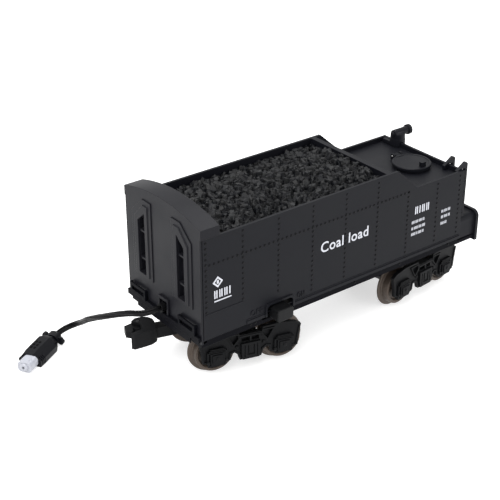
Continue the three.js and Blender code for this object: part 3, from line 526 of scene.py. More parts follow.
def ranged(nodes, links, value, low, high, out_low, out_high):
    node = nodes.new("ShaderNodeMapRange")
    for label, number in (("From Min", low), ("From Max", high), ("To Min", out_low), ("To Max", out_high)):
        node.inputs[label].default_value = number
    links.new(value, node.inputs["Value"])
    return node.outputs["Result"]


def new_finish(name, colour):
    material = bpy.data.materials.new(name)
    material.use_nodes = True
    material.diffuse_color = (*colour, 1.0)
    tree = material.node_tree
    return material, tree.nodes, tree.links, tree.nodes["Principled BSDF"]


def shade(colour, factor):
    return tuple(min(1.0, c * factor) for c in colour)


def bumped(nodes, links, surface, height, strength, distance):
    bump = nodes.new("ShaderNodeBump")
    bump.inputs["Strength"].default_value = strength
    bump.inputs["Distance"].default_value = distance
    links.new(height, bump.inputs["Height"])
    links.new(bump.outputs["Normal"], surface.inputs["Normal"])


def moulded_plastic(name, colour, roughness=0.42, grain=2600.0, relief=0.25, dust=0.12, specular=0.1):
    """Injection-moulded plastic: fine stipple, faint mottling, and dust on top."""
    material, nodes, links, surface = new_finish(name, colour)
    stipple = nodes.new("ShaderNodeGroup")
    stipple.node_tree = moulded_grain()
    stipple.inputs["Grain"].default_value = grain
    powder = nodes.new("ShaderNodeGroup")
    powder.node_tree = settled_dust()
    powder.inputs["Amount"].default_value = dust
    mottled = blended(nodes, links, stipple.outputs["Mask"], shade(colour, 0.82), shade(colour, 1.18))
    dusty = tuple(0.55 * c + 0.02 for c in colour)
    links.new(blended(nodes, links, powder.outputs["Mask"], mottled, dusty), surface.inputs["Base Color"])
    rough = ranged(nodes, links, stipple.outputs["Mask"], 0.3, 0.7, roughness - 0.05, roughness + 0.06)
    links.new(rough, surface.inputs["Roughness"])
    bumped(nodes, links, surface, stipple.outputs["Height"], relief, 0.00004)
    surface.inputs["Specular IOR Level"].default_value = specular
    return material


def coal_finish():
    """Broken coal: black, some faces paler and some smoother than others, with a fine grain."""
    colour = (0.0018, 0.0019, 0.0024)
    material, nodes, links, surface = new_finish("coal_black", colour)
    place = nodes.new("ShaderNodeTexCoord").outputs["Object"]
    cells = nodes.new("ShaderNodeTexVoronoi")
    cells.inputs["Scale"].default_value = 620.0
    links.new(place, cells.inputs["Vector"])
    split = nodes.new("ShaderNodeSeparateColor")
    links.new(cells.outputs["Color"], split.inputs[0])
    chance = split.outputs[0]
    mottled = blended(nodes, links, chance, shade(colour, 0.4), (0.0034, 0.0038, 0.005))
    links.new(mottled, surface.inputs["Base Color"])
    links.new(ranged(nodes, links, split.outputs[1], 0.0, 1.0, 0.24, 0.5), surface.inputs["Roughness"])
    grain = noise(nodes, links, 1900.0, 4.0)
    bumped(nodes, links, surface, grain, 0.2, 0.00005)
    surface.inputs["Specular IOR Level"].default_value = 0.13
    return material


def cast_metal(name, colour, metallic=0.55, roughness=0.42, scratches=900.0):
    """Metal with a worn oxide: mottled colour and roughness, and fine pitting."""
    material, nodes, links, surface = new_finish(name, colour)
    stain = noise(nodes, links, 160.0, 6.0)
    mottled = blended(nodes, links, stain, shade(colour, 0.62), shade(colour, 1.35))
    links.new(mottled, surface.inputs["Base Color"])
    rough = ranged(nodes, links, stain, 0.3, 0.7, roughness - 0.1, roughness + 0.12)
    links.new(rough, surface.inputs["Roughness"])
    surface.inputs["Metallic"].default_value = metallic
    bumped(nodes, links, surface, noise(nodes, links, scratches, 3.0), 0.3, 0.00005)
    return material


def rubber_finish():
    """Soft cable jacket with faint worn patches."""
    colour = (0.0016, 0.0016, 0.002)
    material, nodes, links, surface = new_finish("wire_jacket", colour)
    wear = noise(nodes, links, 420.0, 4.0)
    mottled = blended(nodes, links, wear, shade(colour, 0.7), shade(colour, 1.5))
    links.new(mottled, surface.inputs["Base Color"])
    links.new(ranged(nodes, links, wear, 0.3, 0.7, 0.36, 0.52), surface.inputs["Roughness"])
    surface.inputs["Specular IOR Level"].default_value = 0.1
    bumped(nodes, links, surface, noise(nodes, links, 3000.0, 2.0), 0.2, 0.00003)
    return material


def milky_plastic():
    """Natural nylon: milky, with faint clouding."""
    colour = (0.36, 0.37, 0.41)
    material, nodes, links, surface = new_finish("milky_nylon", colour)
    cloud = noise(nodes, links, 240.0, 4.0)
    clouded = blended(nodes, links, cloud, (0.27, 0.28, 0.32), (0.42, 0.43, 0.47))
    links.new(clouded, surface.inputs["Base Color"])
    links.new(ranged(nodes, links, cloud, 0.3, 0.7, 0.24, 0.36), surface.inputs["Roughness"])
    surface.inputs["Transmission Weight"].default_value = 0.15
    bumped(nodes, links, surface, noise(nodes, links, 1500.0, 2.0), 0.15, 0.00003)
    return material


def printed_white(colour):
    """Pad-printed ink, slightly broken over the plastic's grain."""
    material, nodes, links, surface = new_finish("white_print", colour)
    flaw = noise(nodes, links, 1400.0, 4.0)
    mask = ranged(nodes, links, flaw, 0.28, 0.4, 0.0, 1.0)
    links.new(blended(nodes, links, mask, shade(colour, 0.7), colour), surface.inputs["Base Color"])
    links.new(ranged(nodes, links, flaw, 0.3, 0.7, 0.4, 0.55), surface.inputs["Roughness"])
    return material


def circuit_green():
    """Green solder mask with a grid of paler lines."""
    colour = (0.01, 0.09, 0.04)
    material, nodes, links, surface = new_finish("circuit_green", colour)
    place = nodes.new("ShaderNodeTexCoord").outputs["Object"]
    tracks = nodes.new("ShaderNodeTexBrick")
    tracks.inputs["Scale"].default_value = 260.0
    tracks.inputs["Mortar Size"].default_value = 0.06
    tracks.inputs["Color1"].default_value = (0.008, 0.08, 0.035, 1)
    tracks.inputs["Color2"].default_value = (0.012, 0.105, 0.045, 1)
    tracks.inputs["Mortar"].default_value = (0.03, 0.17, 0.07, 1)
    links.new(place, tracks.inputs["Vector"])
    links.new(tracks.outputs["Color"], surface.inputs["Base Color"])
    links.new(ranged(nodes, links, tracks.outputs["Fac"], 0.0, 1.0, 0.3, 0.42), surface.inputs["Roughness"])
    bumped(nodes, links, surface, tracks.outputs["Fac"], 0.3, 0.00005)
    return material


FINISHES = {}


def make_finishes():
    colours = bpy.context.scene.tender_colours
    body, panel, sill = tuple(colours.body), tuple(colours.panel), tuple(colours.sill)
    truck, wheel = tuple(colours.truck), tuple(colours.wheel)
    FINISHES.update(
        body=moulded_plastic("body_grey_black", body, 0.44),
        # Rivet and sill screw heads: the body colour at 35 percent, painted shade standing in for the shading
        # around the raised heads.
        rivet=moulded_plastic("rivet_painted_shade_black", shade(body, 0.35), 0.5, dust=0.0),
        panel=moulded_plastic("panel_grey_black", panel, 0.4, relief=0.18),
        sill=moulded_plastic("sill_black", sill, 0.46, specular=0.03),
        truck=moulded_plastic("truck_black", truck, 0.5, grain=1800.0, relief=0.5, dust=0.2, specular=0.1),
        knob=moulded_plastic("knob_black", shade(truck, 0.8), 0.5, relief=0.4, specular=0.14),
        plug=moulded_plastic("plug_black", shade(body, 0.7), 0.46, relief=0.35),
        dark=moulded_plastic("shadow_black", (0.002, 0.002, 0.002), 0.6, dust=0.0, specular=0.05),
        coal=coal_finish(),
        wheel=cast_metal("browned_wheel", wheel, 0.35, 0.45),
        steel=cast_metal("bright_steel", (0.55, 0.55, 0.54), 1.0, 0.32),
        blackened=cast_metal("blackened_steel", (0.05, 0.05, 0.052), 0.9, 0.42),
        rubber=rubber_finish(),
        milky=milky_plastic(),
        print=printed_white(tuple(colours.lettering)),
        board=circuit_green(),
        cell=moulded_plastic("cell_grey", (0.03, 0.03, 0.035), 0.4),
    )


# ------------------------------------------------------------------ stage
VIEW_BACK = Vector((-0.5416, -0.6962, 0.4713))
CAMERA_SPOT = (-274.9, -419.2, 336.55)
LENS = 88.6


def soft_light(name, spot, aim, size, power):
    data = bpy.data.lights.new(name, "AREA")
    data.shape = "RECTANGLE"
    data.size, data.size_y = size
    data.energy = power
    obj = bpy.data.objects.new(name, data)
    bpy.context.scene.collection.objects.link(obj)
    obj.location = spot
    obj.rotation_euler = (Vector(aim) - Vector(spot)).to_track_quat("-Z", "Y").to_euler()


class TENDER_OT_stage(bpy.types.Operator):
    """Camera, pale floor and soft light"""

    bl_idname = "tender.stage"
    bl_label = "Stage"

    def execute(self, context):
        camera = bpy.data.objects.new("camera", bpy.data.cameras.new("camera"))
        context.scene.collection.objects.link(camera)
        camera.data.lens = LENS
        camera.data.sensor_width = 36
        camera.data.clip_start, camera.data.clip_end = 0.01, 20
        camera.location = TENDER @ Vector(CAMERA_SPOT)
        camera.rotation_euler = (-VIEW_BACK).to_track_quat("-Z", "Y").to_euler()
        context.scene.camera = camera

        floor = linked("floor", mesh_of(block((-3, 3), (-3, 3), (-0.02, -0.00005))))
        material, nodes, links, surface = new_finish("pale_floor", (0.6, 0.6, 0.6))
        tone = noise(nodes, links, 3.0, 2.0)
        pale = blended(nodes, links, tone, (0.58, 0.58, 0.58), (0.6, 0.6, 0.6))
        links.new(pale, surface.inputs["Base Color"])
        surface.inputs["Roughness"].default_value = 0.9
        surface.inputs["Specular IOR Level"].default_value = 0.1
        surface.inputs["Emission Color"].default_value = (1.0, 1.0, 1.0, 1.0)
        surface.inputs["Emission Strength"].default_value = 0.6
        floor.data.materials.append(material)

        world = bpy.data.worlds.new("studio")
        world.use_nodes = True
        sky = world.node_tree.nodes["Background"]
        sky.inputs["Color"].default_value = (1.0, 1.0, 1.0, 1.0)
        sky.inputs["Strength"].default_value = 0.95
        context.scene.world = world
        soft_light("key", (-0.55, -0.25, 0.75), (0, 0, 0.03), (0.7, 0.7), 9.0)
        soft_light("fill", (0.35, -0.9, 0.35), (0, 0, 0.04), (0.9, 0.6), 4.0)
        soft_light("top", (0.1, 0.3, 0.9), (0, 0, 0.05), (0.9, 0.6), 7.0)
        context.scene.view_settings.view_transform = "Standard"
        return {"FINISHED"}


# ------------------------------------------------------------------ tether cable
PLUG_PLACE = (
    TENDER
    @ Matrix.Translation((CABLE_ROUTE[-1][0], CABLE_ROUTE[-1][1], 0))
    @ Matrix.Rotation(math.radians(PLUG_TURN), 4, "Z")
)


def lofted(sections):
    """A closed solid through outlines of equal length, each of (x, y, z) points."""
    bm = bmesh.new()
    rings = [[bm.verts.new(point) for point in section] for section in sections]
    bm.faces.new(rings[0])
    bm.faces.new(reversed(rings[-1]))
    for low, high in zip(rings, rings[1:]):
        for i in range(len(low)):
            j = (i + 1) % len(low)
            bm.faces.new((low[i], high[i], high[j], low[j]))
    bmesh.ops.recalc_face_normals(bm, faces=bm.faces)
    return bm


def plug_piece(name, mesh, finish, nodes, width, segments=2):
    piece(name, mesh, PLUG_PLACE, "tender_body", finish, nodes, width, segments)


class TENDER_OT_plug(bpy.types.Operator):
    """Plug at the cable's end: eared collar, ridged shell and milky nose"""

    bl_idname = "tender.plug"
    bl_label = "Plug"

    def execute(self, context):
        ring = rounded((-3.4, 3.4), (0.3, 6.3), 2.6)
        mouth = rounded((-2.2, 2.2), (1.2, 5.4), 1.9)
        ears = [rod(1.5, (1.7, 3.5), "x", spot, 20) for spot in ((-4.5, 4.4), (4.5, 2.2))]
        web = prism(rounded((-5.2, 5.2), (1.2, 4.6), 1.2), "x", (1.8, 3.4))
        collar = carved(prism(ring, "x", (0.5, 4.7)), [*ears, web], [prism(mouth, "x", (-1, 3.9))])
        plug_piece("plug_grip_collar", collar, FINISHES["plug"], ["plug_collar"], 0.25)

        def section(x, half, top, ridge=1.0):
            points = [(-half, 0.5), (-half, top - 1.2), (-half + 1.0, top), (ridge, top), (half, top * 0.52)]
            return [(x, y, z) for y, z in points + [(half, 0.5), (half - 0.5, 0.15), (-half + 0.5, 0.15)]]

        shell = lofted(
            [
                section(4.9, 3.5, 5.8),
                section(6.6, 4.3, 6.6),
                section(8.8, 5.4, 7.0),
                section(20.8, 5.4, 7.0),
                section(24.5, 5.2, 6.5),
            ]
        )
        key = turned([(0, 18), (1.2, 18), (1.2, 26), (0.8, 26.5), (0, 26.5)], "x", (-5.2, 3.5), 20)
        ribs = [block((x, x + 0.5), (2.4, 5.6), (1, 5.0)) for x in (20.4, 21.6, 22.8)]
        scallop = rod(2.5, (3, 9), "z", (6.8, 5.7), 24)
        body = carved(shell, [key], [scallop, *ribs])
        plug_piece("plug_shell", body, FINISHES["plug"], ["plug_housing"], 0.35, 3)

        grips = []
        for i in range(3):
            for y in (-3.5, -1.7):
                grips.append(block((12.8 + 2.7 * i, 14.3 + 2.7 * i), (y, y + 1.0), (6.6, 7.25)))
        marks = gathered([mesh_of(grip) for grip in grips])
        plug_piece("plug_marks", marks, FINISHES["dark"], (), 0.12)

        nose = carved(
            prism(rounded((-3.8, 3.8), (0.7, 6.2), 2.0), "x", (24.8, 31.6)),
            [turned([(0, 30), (2.3, 30), (2.2, 32.1), (1.7, 32.5), (0, 32.5)], "x", (0, 3.5), 28)],
            [rod(0.75, (29.6, 34), "x", (0, 3.6), 16)],
        )
        plug_piece("plug_nose", nose, FINISHES["milky"], ["plug_connector"], 0.35, 3)
        return {"FINISHED"}


def smooth_route(points, steps):
    """Centripetal Catmull-Rom through the points, steps to each gap."""
    route = [Vector(p) for p in points]
    route = [2 * route[0] - route[1], *route, 2 * route[-1] - route[-2]]
    made = []
    for p0, p1, p2, p3 in zip(route, route[1:], route[2:], route[3:]):
        knots = [0.0]
        for a, b in ((p0, p1), (p1, p2), (p2, p3)):
            knots.append(knots[-1] + (b - a).length ** 0.5)
        t0, t1, t2, t3 = knots
        for i in range(steps):
            t = t1 + (t2 - t1) * i / steps
            a1 = (p0 * (t1 - t) + p1 * (t - t0)) / (t1 - t0)
            a2 = (p1 * (t2 - t) + p2 * (t - t1)) / (t2 - t1)
            a3 = (p2 * (t3 - t) + p3 * (t - t2)) / (t3 - t2)
            b1 = (a1 * (t2 - t) + a2 * (t - t0)) / (t2 - t0)
            b2 = (a2 * (t3 - t) + a3 * (t - t1)) / (t3 - t1)
            made.append((b1 * (t2 - t) + b2 * (t - t1)) / (t2 - t1))
    return made + [route[-2]]


def wire_bundle(route, wires, radius, twist):
    """Wires twisted together along a route, each a closed tube. Twist is in turns per metre."""
    bm = bmesh.new()
    sides = 10
    thread = radius * 0.4
    offset = radius - thread
    tangents = [(b - a).normalized() for a, b in zip(route, route[1:])]
    tangents.append(tangents[-1])
    side = Vector((0, 0, 1)).cross(tangents[0]).normalized()
    run = 0.0
    frames = []
    for i, (point, tangent) in enumerate(zip(route, tangents)):
        side = (side - tangent * side.dot(tangent)).normalized()
        frames.append((point, side, tangent.cross(side), run))
        run += (route[i + 1] - point).length if i + 1 < len(route) else 0.0
    for wire in range(wires):
        rings = []
        for point, across, up, so_far in frames:
            phase = 2 * math.pi * (wire / wires + so_far * twist)
            outward = across * math.cos(phase) + up * math.sin(phase)
            sideways = up * math.cos(phase) - across * math.sin(phase)
            centre = point + outward * offset
            ring = []
            for k in range(sides):
                turn = 2 * math.pi * k / sides
                around = outward * (thread * math.cos(turn)) + sideways * (thread * math.sin(turn))
                ring.append(bm.verts.new(centre + around))
            rings.append(ring)
        for low, high in zip(rings, rings[1:]):
            for k in range(sides):
                bm.faces.new((low[k], low[(k + 1) % sides], high[(k + 1) % sides], high[k]))
        bm.faces.new(rings[0])
        bm.faces.new(rings[-1])
    bmesh.ops.recalc_face_normals(bm, faces=bm.faces)
    return mesh_of(bm)


WIRE_TWIST = 5.0


class TENDER_OT_cable(bpy.types.Operator):
    """Tether cable: a bundle of thin wires from the front panel to the plug"""

    bl_idname = "tender.cable"
    bl_label = "Tether cable"

    def execute(self, context):
        sizes = context.scene.tender_sizes
        route = [TENDER @ point for point in smooth_route(CABLE_ROUTE, 8)]
        bundle = wire_bundle(route, sizes.wires, sizes.cable_diameter / 2, WIRE_TWIST)
        finish = FINISHES["rubber"]
        obj = piece("tether_cable", bundle, Matrix(), "tender_body", finish, ["cable"])
        return {"FINISHED"}


# ------------------------------------------------------------------ body
WINDOW = [(13.0, 20.4), (18.5, 20.4), (18.5, 48.0), (13.0, 52.9)]
SURROUNDS = [
    ([(8.1, 18.4), (23.8, 18.4), (23.8, 51.9), (15.2, 59.7), (8.1, 59.7)], (-0.5, 0.05)),
    ([(10.5, 19.4), (21.4, 19.4), (21.4, 49.6), (14.5, 57.0), (10.5, 57.0)], (-1.0, -0.45)),
]


def on_panel(points, side):
    """Points of (distance from the centreline, height above the sill) on the front panel."""
    return [(side * y, SILL + z) for y, z in points]


class TENDER_OT_body(bpy.types.Operator):
    """Moulded body: walls, underframe, front beam and tool box"""

    bl_idname = "tender.body"
    bl_label = "Body"

    def execute(self, context):
        dressed("body_shell", FINISHES["body"], 0.3)
        dressed("underframe", FINISHES["sill"], 0.3)
        dressed("front_beam", FINISHES["sill"], 0.3)
        dressed("tool_box", FINISHES["body"], 0.4)
        dressed("front_panel", FINISHES["panel"], 0.35)
        surrounds = []
        for side in (-1, 1):
            outer, inner = (prism(on_panel(shape, side), "x", span) for shape, span in SURROUNDS)
            hole = prism(on_panel(WINDOW, side), "x", (-3, 3))
            surrounds.append(carved(outer, [inner], [hole]))
        finish = FINISHES["panel"]
        frames = gathered(surrounds)
        piece("window_surrounds", frames, TENDER, "tender_body", finish, (), 0.2)
        rim = [(-3.8, 6.5), (-2.7, 6.5), (-2.7, 13.2), (2.9, 13.2), (2.9, 9.4), (4.0, 9.4), (4.0, 14.8)]
        rim.append((-3.8, 14.8))
        notch = prism([(y + CABLE_ROUTE[0][1], SILL + z) for y, z in rim], "x", (-1.2, 0.05))
        piece("cable_notch_rim", mesh_of(notch), TENDER, "tender_body", finish, (), 0.2)
        dressed("cable_gland", FINISHES["rubber"], 0.15)
        return {"FINISHED"}


SEAM_COLUMNS = [
    (3.0, 18.5, 54.0),
    (23.9, 18.5, 54.0),
    (44.8, 15.6, 53.5),
    (65.7, 8.6, 53.5),
    (86.6, 8.6, 53.5),
    (107.5, 8.6, 53.5),
    (128.4, 8.6, 42.4),
    (149.3, 8.6, 41.0),
    (165.6, 8.6, 41.0),
]
SEAM_ROW = (5.0, 128.4, 42.4)
REAR_SEAMS = [-28.4, 28.4]
SILL_SCREWS = [29.0, 31.8, 64.7, 95.0, 125.8, 161.4]


class TENDER_OT_rivets(bpy.types.Operator):
    """Rivet seams on the walls and screws along the sill"""

    bl_idname = "tender.rivets"
    bl_label = "Rivets"

    def execute(self, context):
        sizes = context.scene.tender_sizes
        flat = (sizes.rivet_radius, sizes.rivet_rise, sizes.rivet_radius)
        lines = []
        for side in (-1, 1):
            y = side * HALF
            lines += [((x, y, SILL + low), (x, y, SILL + high)) for x, low, high in SEAM_COLUMNS]
            lines.append(((SEAM_ROW[0], y, SILL + SEAM_ROW[2]), (SEAM_ROW[1], y, SILL + SEAM_ROW[2])))
        # The rivet finish on these heads and on the sill screws below is painted shade, darker than the
        # walls.
        walls = rivet_mesh(lines, sizes.rivet_pitch, flat, FINISHES["rivet"])
        end_on = (sizes.rivet_rise, sizes.rivet_radius, sizes.rivet_radius)
        backs = [((BODY_LENGTH, y, SILL + 18.6), (BODY_LENGTH, y, SILL + 41.5)) for y in REAR_SEAMS]
        rear = rivet_mesh(backs, sizes.rivet_pitch, end_on, FINISHES["rivet"])
        finish = FINISHES["rivet"]
        piece("wall_rivets", gathered([walls, rear]), Matrix(), "tender_body", finish)
        spots = []
        for side in (-1, 1):
            y = side * (HALF - 1)
            spots += [((x, y, SILL + 2.1), (x + 0.001, y, SILL + 2.1)) for x in SILL_SCREWS]
        screws = rivet_mesh(spots, 1.0, (0.0007, 0.00035, 0.0007), FINISHES["rivet"])
        piece("sill_screws", screws, Matrix(), "tender_body", finish)
        return {"FINISHED"}


WORD = "Coal load"
WORD_SPAN = (70.9, 101.6)
WORD_FOOT = 26.8
WORD_WEIGHT = 0.012


def lettering(text, width, height, depth, bold=0.0):
    """Raised letters, upright in the (x, z) plane with their face towards -y, from the origin."""
    curve = bpy.data.curves.new("lettering", "FONT")
    curve.body = text
    curve.extrude = depth
    curve.offset = bold
    curve.resolution_u = 4
    curve.space_character = 1.08
    mesh = settled(linked("lettering", curve))
    points = np.array([vertex.co for vertex in mesh.vertices])
    low, high = points.min(axis=0), points.max(axis=0)
    points = (points - low) / (high - low) * (width, height, depth)
    upright = np.stack([points[:, 0], -points[:, 2], points[:, 1]], axis=1)
    mesh.vertices.foreach_set("co", upright.ravel().astype(np.float32))
    bm = bmesh.new()
    bm.from_mesh(mesh)
    bmesh.ops.remove_doubles(bm, verts=bm.verts, dist=0.001)
    return bm


def on_wall(shape, side, start, end):
    """A shape drawn from u = 0 in the (x, z) plane, on the near wall (-1) or the far wall (+1)."""
    if side > 0:
        rolled(shape, 180, "Z")
        return mesh_of(moved(shape, end, HALF, SILL))
    return mesh_of(moved(shape, start, -HALF, SILL))


INK = 0.06
# Rows of short strokes in place of print: start, foot, height, stroke width, and the strokes' groups.
LABEL_ROWS = [
    (133.7, 28.5, 4.2, 0.7, (2, 1, 2, 2)),
    (131.9, 23.4, 1.6, 0.42, (3, 3, 3, 2)),
    (131.9, 19.9, 1.6, 0.42, (2, 4, 3, 3)),
    (131.9, 16.6, 1.6, 0.42, (4, 2, 3, 2)),
    (153.2, 23.5, 1.6, 0.48, (2, 3, 2)),
    (153.2, 20.2, 1.6, 0.48, (2, 3, 2)),
    (153.2, 16.5, 1.6, 0.48, (3, 2)),
    (7.4, 24.3, 4.1, 0.66, (2, 2, 2, 1)),
    (7.4, 22.5, 0.6, 9.7, (1,)),
]
EMBLEM = (9.5, 32.6, 2.9)


def stroke_places(width, groups):
    """The start of each stroke of a row, and the row's whole width."""
    places, u = [], 0.0
    for count in groups:
        for _ in range(count):
            places.append(u)
            u += width * 1.75
        u += width * 0.8
    return places, places[-1] + width


class TENDER_OT_markings(bpy.types.Operator):
    """Plain white markings and the raised switch words"""

    bl_idname = "tender.markings"
    bl_label = "Markings"

    def execute(self, context):
        prints = []
        height = context.scene.tender_sizes.wall_lettering / MM
        for side in (-1, 1):
            word = moved(lettering(WORD, WORD_SPAN[1] - WORD_SPAN[0], height, INK, WORD_WEIGHT), z=WORD_FOOT)
            prints.append(on_wall(word, side, *WORD_SPAN))
            for start, foot, tall, width, groups in LABEL_ROWS:
                places, whole = stroke_places(width, groups)
                for u in places:
                    mark = block((u, u + width), (-INK, 0.01), (foot, foot + tall))
                    prints.append(on_wall(mark, side, start, start + whole))
            x, z, reach = EMBLEM
            diamond = [(0, -reach), (reach, 0), (0, reach), (-reach, 0)]
            inner = [(u * 0.62, v * 0.62) for u, v in diamond]
            outer_shape = moved(prism(diamond, "y", (-INK, 0.01)), z=z)
            hole = moved(prism(inner, "y", (-1, 1)), z=z)
            ring = carved(outer_shape, cuts=[hole])
            prints.append(on_wall(reopened(ring), side, x, x))
            dot = moved(block((-0.55, 0.55), (-INK, 0.01), (-0.9, 0.9)), z=z)
            prints.append(on_wall(dot, side, x, x))
        piece("wall_markings", gathered(prints), TENDER, "tender_body", FINISHES["print"])
        words = []
        for text, start, end in (("OFF", 28.4, 35.2), ("ON", 56.6, 61.0)):
            raised = moved(lettering(text, end - start, 3.0, 0.3), z=7.3)
            words.append(on_wall(raised, -1, start, end))
        piece("switch_words", gathered(words), TENDER, "tender_body", FINISHES["body"])
        seams = []
        for side in (-1, 1):
            y = sorted((side * HALF - side * 0.2, side * (HALF + 0.22)))
            seams.append(mesh_of(block((2.4, 23.8), y, (SILL + 17.0, SILL + 17.5))))
            seams.append(mesh_of(block((26.0, BODY_LENGTH), y, (SILL + 6.1, SILL + 6.5))))
        finish = FINISHES["body"]
        piece("wall_seams", gathered(seams), TENDER, "tender_body", finish, (), 0.1)
        return {"FINISHED"}


# ------------------------------------------------------------------ coal
GRID = 0.31


def coal_heights(low, high, crown, edge, lump, rng):
    """Heights of a heap of faceted lumps over a grid, and the grid's x and y."""
    xs = np.arange(low[0], high[0] + GRID / 2, (high[0] - low[0]) / round((high[0] - low[0]) / GRID))
    ys = np.arange(low[1], high[1] + GRID / 2, (high[1] - low[1]) / round((high[1] - low[1]) / GRID))
    x, y = np.meshgrid(xs, ys, indexing="ij")
    half = (high[1] - low[1]) / 2
    bed = edge + crown * (1 - ((y - (low[1] + high[1]) / 2) / half) ** 2)
    heights = bed - 3.4
    reach = int(math.ceil(1.9 * lump / GRID))
    count = int(0.72 * (high[0] - low[0]) * (high[1] - low[1]) / lump**2)
    for _ in range(count):
        i, j = rng.integers(0, len(xs)), rng.integers(0, len(ys))
        size = lump * rng.uniform(0.6, 1.35)
        top = bed[i, j] + rng.uniform(-1.7, 0.9)
        a0, a1 = max(0, i - reach), min(len(xs), i + reach + 1)
        b0, b1 = max(0, j - reach), min(len(ys), j + reach + 1)
        dx, dy = x[a0:a1, b0:b1] - xs[i], y[a0:a1, b0:b1] - ys[j]
        facets = rng.integers(4, 7)
        turn = rng.uniform(0, 2 * math.pi)
        shape = np.full(dx.shape, top) + dx * rng.uniform(-0.6, 0.6) + dy * rng.uniform(-0.6, 0.6)
        for k in range(facets):
            angle = turn + 2 * math.pi * (k + rng.uniform(-0.25, 0.25)) / facets
            fall = rng.uniform(1.6, 4.0)
            edge_at = size * rng.uniform(0.45, 1.0)
            outward = dx * math.cos(angle) + dy * math.sin(angle)
            shape = np.minimum(shape, top - fall * (outward - edge_at))
        view = heights[a0:a1, b0:b1]
        np.maximum(view, shape, out=view)
    return xs, ys, heights


class TENDER_OT_coal(bpy.types.Operator):
    """Coal load: a heap of faceted lumps, crowned along the bunker"""

    bl_idname = "tender.coal"
    bl_label = "Coal"

    def execute(self, context):
        sizes = context.scene.tender_sizes
        low, high = tender_span("coal_load")
        rng = np.random.default_rng(sizes.lump_seed)
        edge = WALL_TOP - 3.5
        xs, ys, heights = coal_heights(
            (low.x, low.y), (high.x, high.y), 3.0, edge, sizes.lump / MM, rng
        )
        nx, ny = heights.shape
        x, y = np.meshgrid(xs, ys, indexing="ij")
        top = np.stack([x, y, heights], axis=-1).reshape(-1, 3)
        index = np.arange(nx * ny).reshape(nx, ny)
        corners = [index[:-1, :-1], index[1:, :-1], index[1:, 1:], index[:-1, 1:]]
        quads = np.stack(corners, axis=-1).reshape(-1, 4)
        rim = np.concatenate([index[:, 0], index[-1, 1:], index[-2::-1, -1], index[0, -2:0:-1]])
        foot = top[rim].copy()
        foot[:, 2] = low.z
        base = np.arange(len(rim)) + nx * ny
        skirt = np.stack([rim, base, np.roll(base, -1), np.roll(rim, -1)], axis=-1)
        mesh = bpy.data.meshes.new("coal_heap")
        faces = [*quads.tolist(), *skirt.tolist(), base[::-1].tolist()]
        mesh.from_pydata(np.concatenate([top, foot]).tolist(), [], faces)
        mesh.validate()
        piece("coal_heap", mesh, TENDER, "tender_body", FINISHES["coal"], ["coal_load"], crease=24)
        return {"FINISHED"}


# ------------------------------------------------------------------ deck fittings
HATCH_LID = 1.6
LAMP_Y = 20.0


class TENDER_OT_deck(bpy.types.Operator):
    """Water hatch, headlamp and ladder on the rear deck"""

    bl_idname = "tender.deck"
    bl_label = "Deck fittings"

    def execute(self, context):
        dressed("hatch_collar", FINISHES["body"], 0.15)
        dressed("hatch_pin", FINISHES["steel"], 0.1)
        low, high = tender_span("hatch_lid")
        radius = (high.x - low.x) / 2
        at = (low.x + radius, low.y + radius)
        z0 = low.z
        z1 = z0 + HATCH_LID
        rim = [(0, z0), (radius - 0.2, z0), (radius, z0 + 0.2), (radius, z1 - 0.3), (radius - 0.3, z1)]
        face = [(radius - 1.1, z1), (radius - 1.4, z1 - 0.25), (0, z1 - 0.15)]
        disc = turned([*rim, *face], "z", at, 72)
        tongue = block((at[0] - 1.1, at[0] + 2.2), (at[1] + radius - 1.6, at[1] + radius + 1.5), (z0, z1))
        hinge = (at[1] + radius + 1.5, z0 + HATCH_LID / 2)
        barrel = rod(1.15, (-1.1, 2.2), "x", hinge, 24)
        handle = block((at[0] - 0.8, at[0] + 2.2), (at[1] - 8.3, at[1] - 6.3), (z1 - 0.6, high.z))
        bore = rod(0.8, (-9, 9), "x", hinge, 20)
        lid = carved(disc, [tongue, moved(barrel, x=at[0]), handle], [moved(bore, x=at[0])])
        piece("hatch_cover", lid, TENDER, "hatch_lid", FINISHES["body"], ["hatch_lid"], 0.2)

        low, high = tender_span("lamp_post")
        spot = (BODY_LENGTH, LAMP_Y)
        foot = [(0, low.z), (4.2, low.z), (4.2, high.z - 0.5), (3.9, high.z), (0, high.z)]
        lug = block((164.5, 166.7), (LAMP_Y + 1, LAMP_Y + 7.4), (low.z, low.z + 2.2))
        saddle = block((166.7, 168.8), (LAMP_Y - 6, LAMP_Y + 9), (low.z - 1, WALL_FOOT + 39.6))
        body = carved(turned(foot, "z", spot, 56), [lug], [saddle])
        piece("lamp_foot", body, TENDER, "tender_body", FINISHES["body"], ["lamp_post"], 0.2)
        low, high = tender_span("lamp_housing")
        top = low.z + 3.8
        dome = [(0, low.z), (4.0, low.z), (4.0, top - 1.6), (3.7, top - 0.8), (2.9, top - 0.2)]
        dome += [(1.8, top), (0, top)]
        axis = (LAMP_Y, high.z - 2.8)
        x0, x1 = low.x, high.x
        tail = [(0, x0), (1.0, x0), (1.26, x0 + 0.3), (1.26, x0 + 0.8), (1.9, x0 + 0.9), (2.1, x0 + 1.3)]
        mouth = [(2.1, 174.6), (2.8, 175.0), (2.8, x1 - 0.2), (2.6, x1), (2.1, x1), (2.1, 175.4), (0, 175.4)]
        head = carved(turned(dome, "z", spot, 56), [turned([*tail, *mouth], "x", axis, 48)])
        finish = FINISHES["body"]
        piece("lamp_head", head, TENDER, "tender_body", finish, ["lamp_housing"], 0.15)
        dressed("lamp_lens", FINISHES["milky"], 0.1)
        dressed("rear_ladder", FINISHES["body"], 0.25)
        return {"FINISHED"}


class TENDER_OT_switch(bpy.types.Operator):
    """Slide switch and its knob"""

    bl_idname = "tender.switch"
    bl_label = "Switch"

    def execute(self, context):
        dressed("switch_housing", FINISHES["dark"], 0.1)
        dressed("switch_knob", FINISHES["knob"], 0.7, 3)
        return {"FINISHED"}


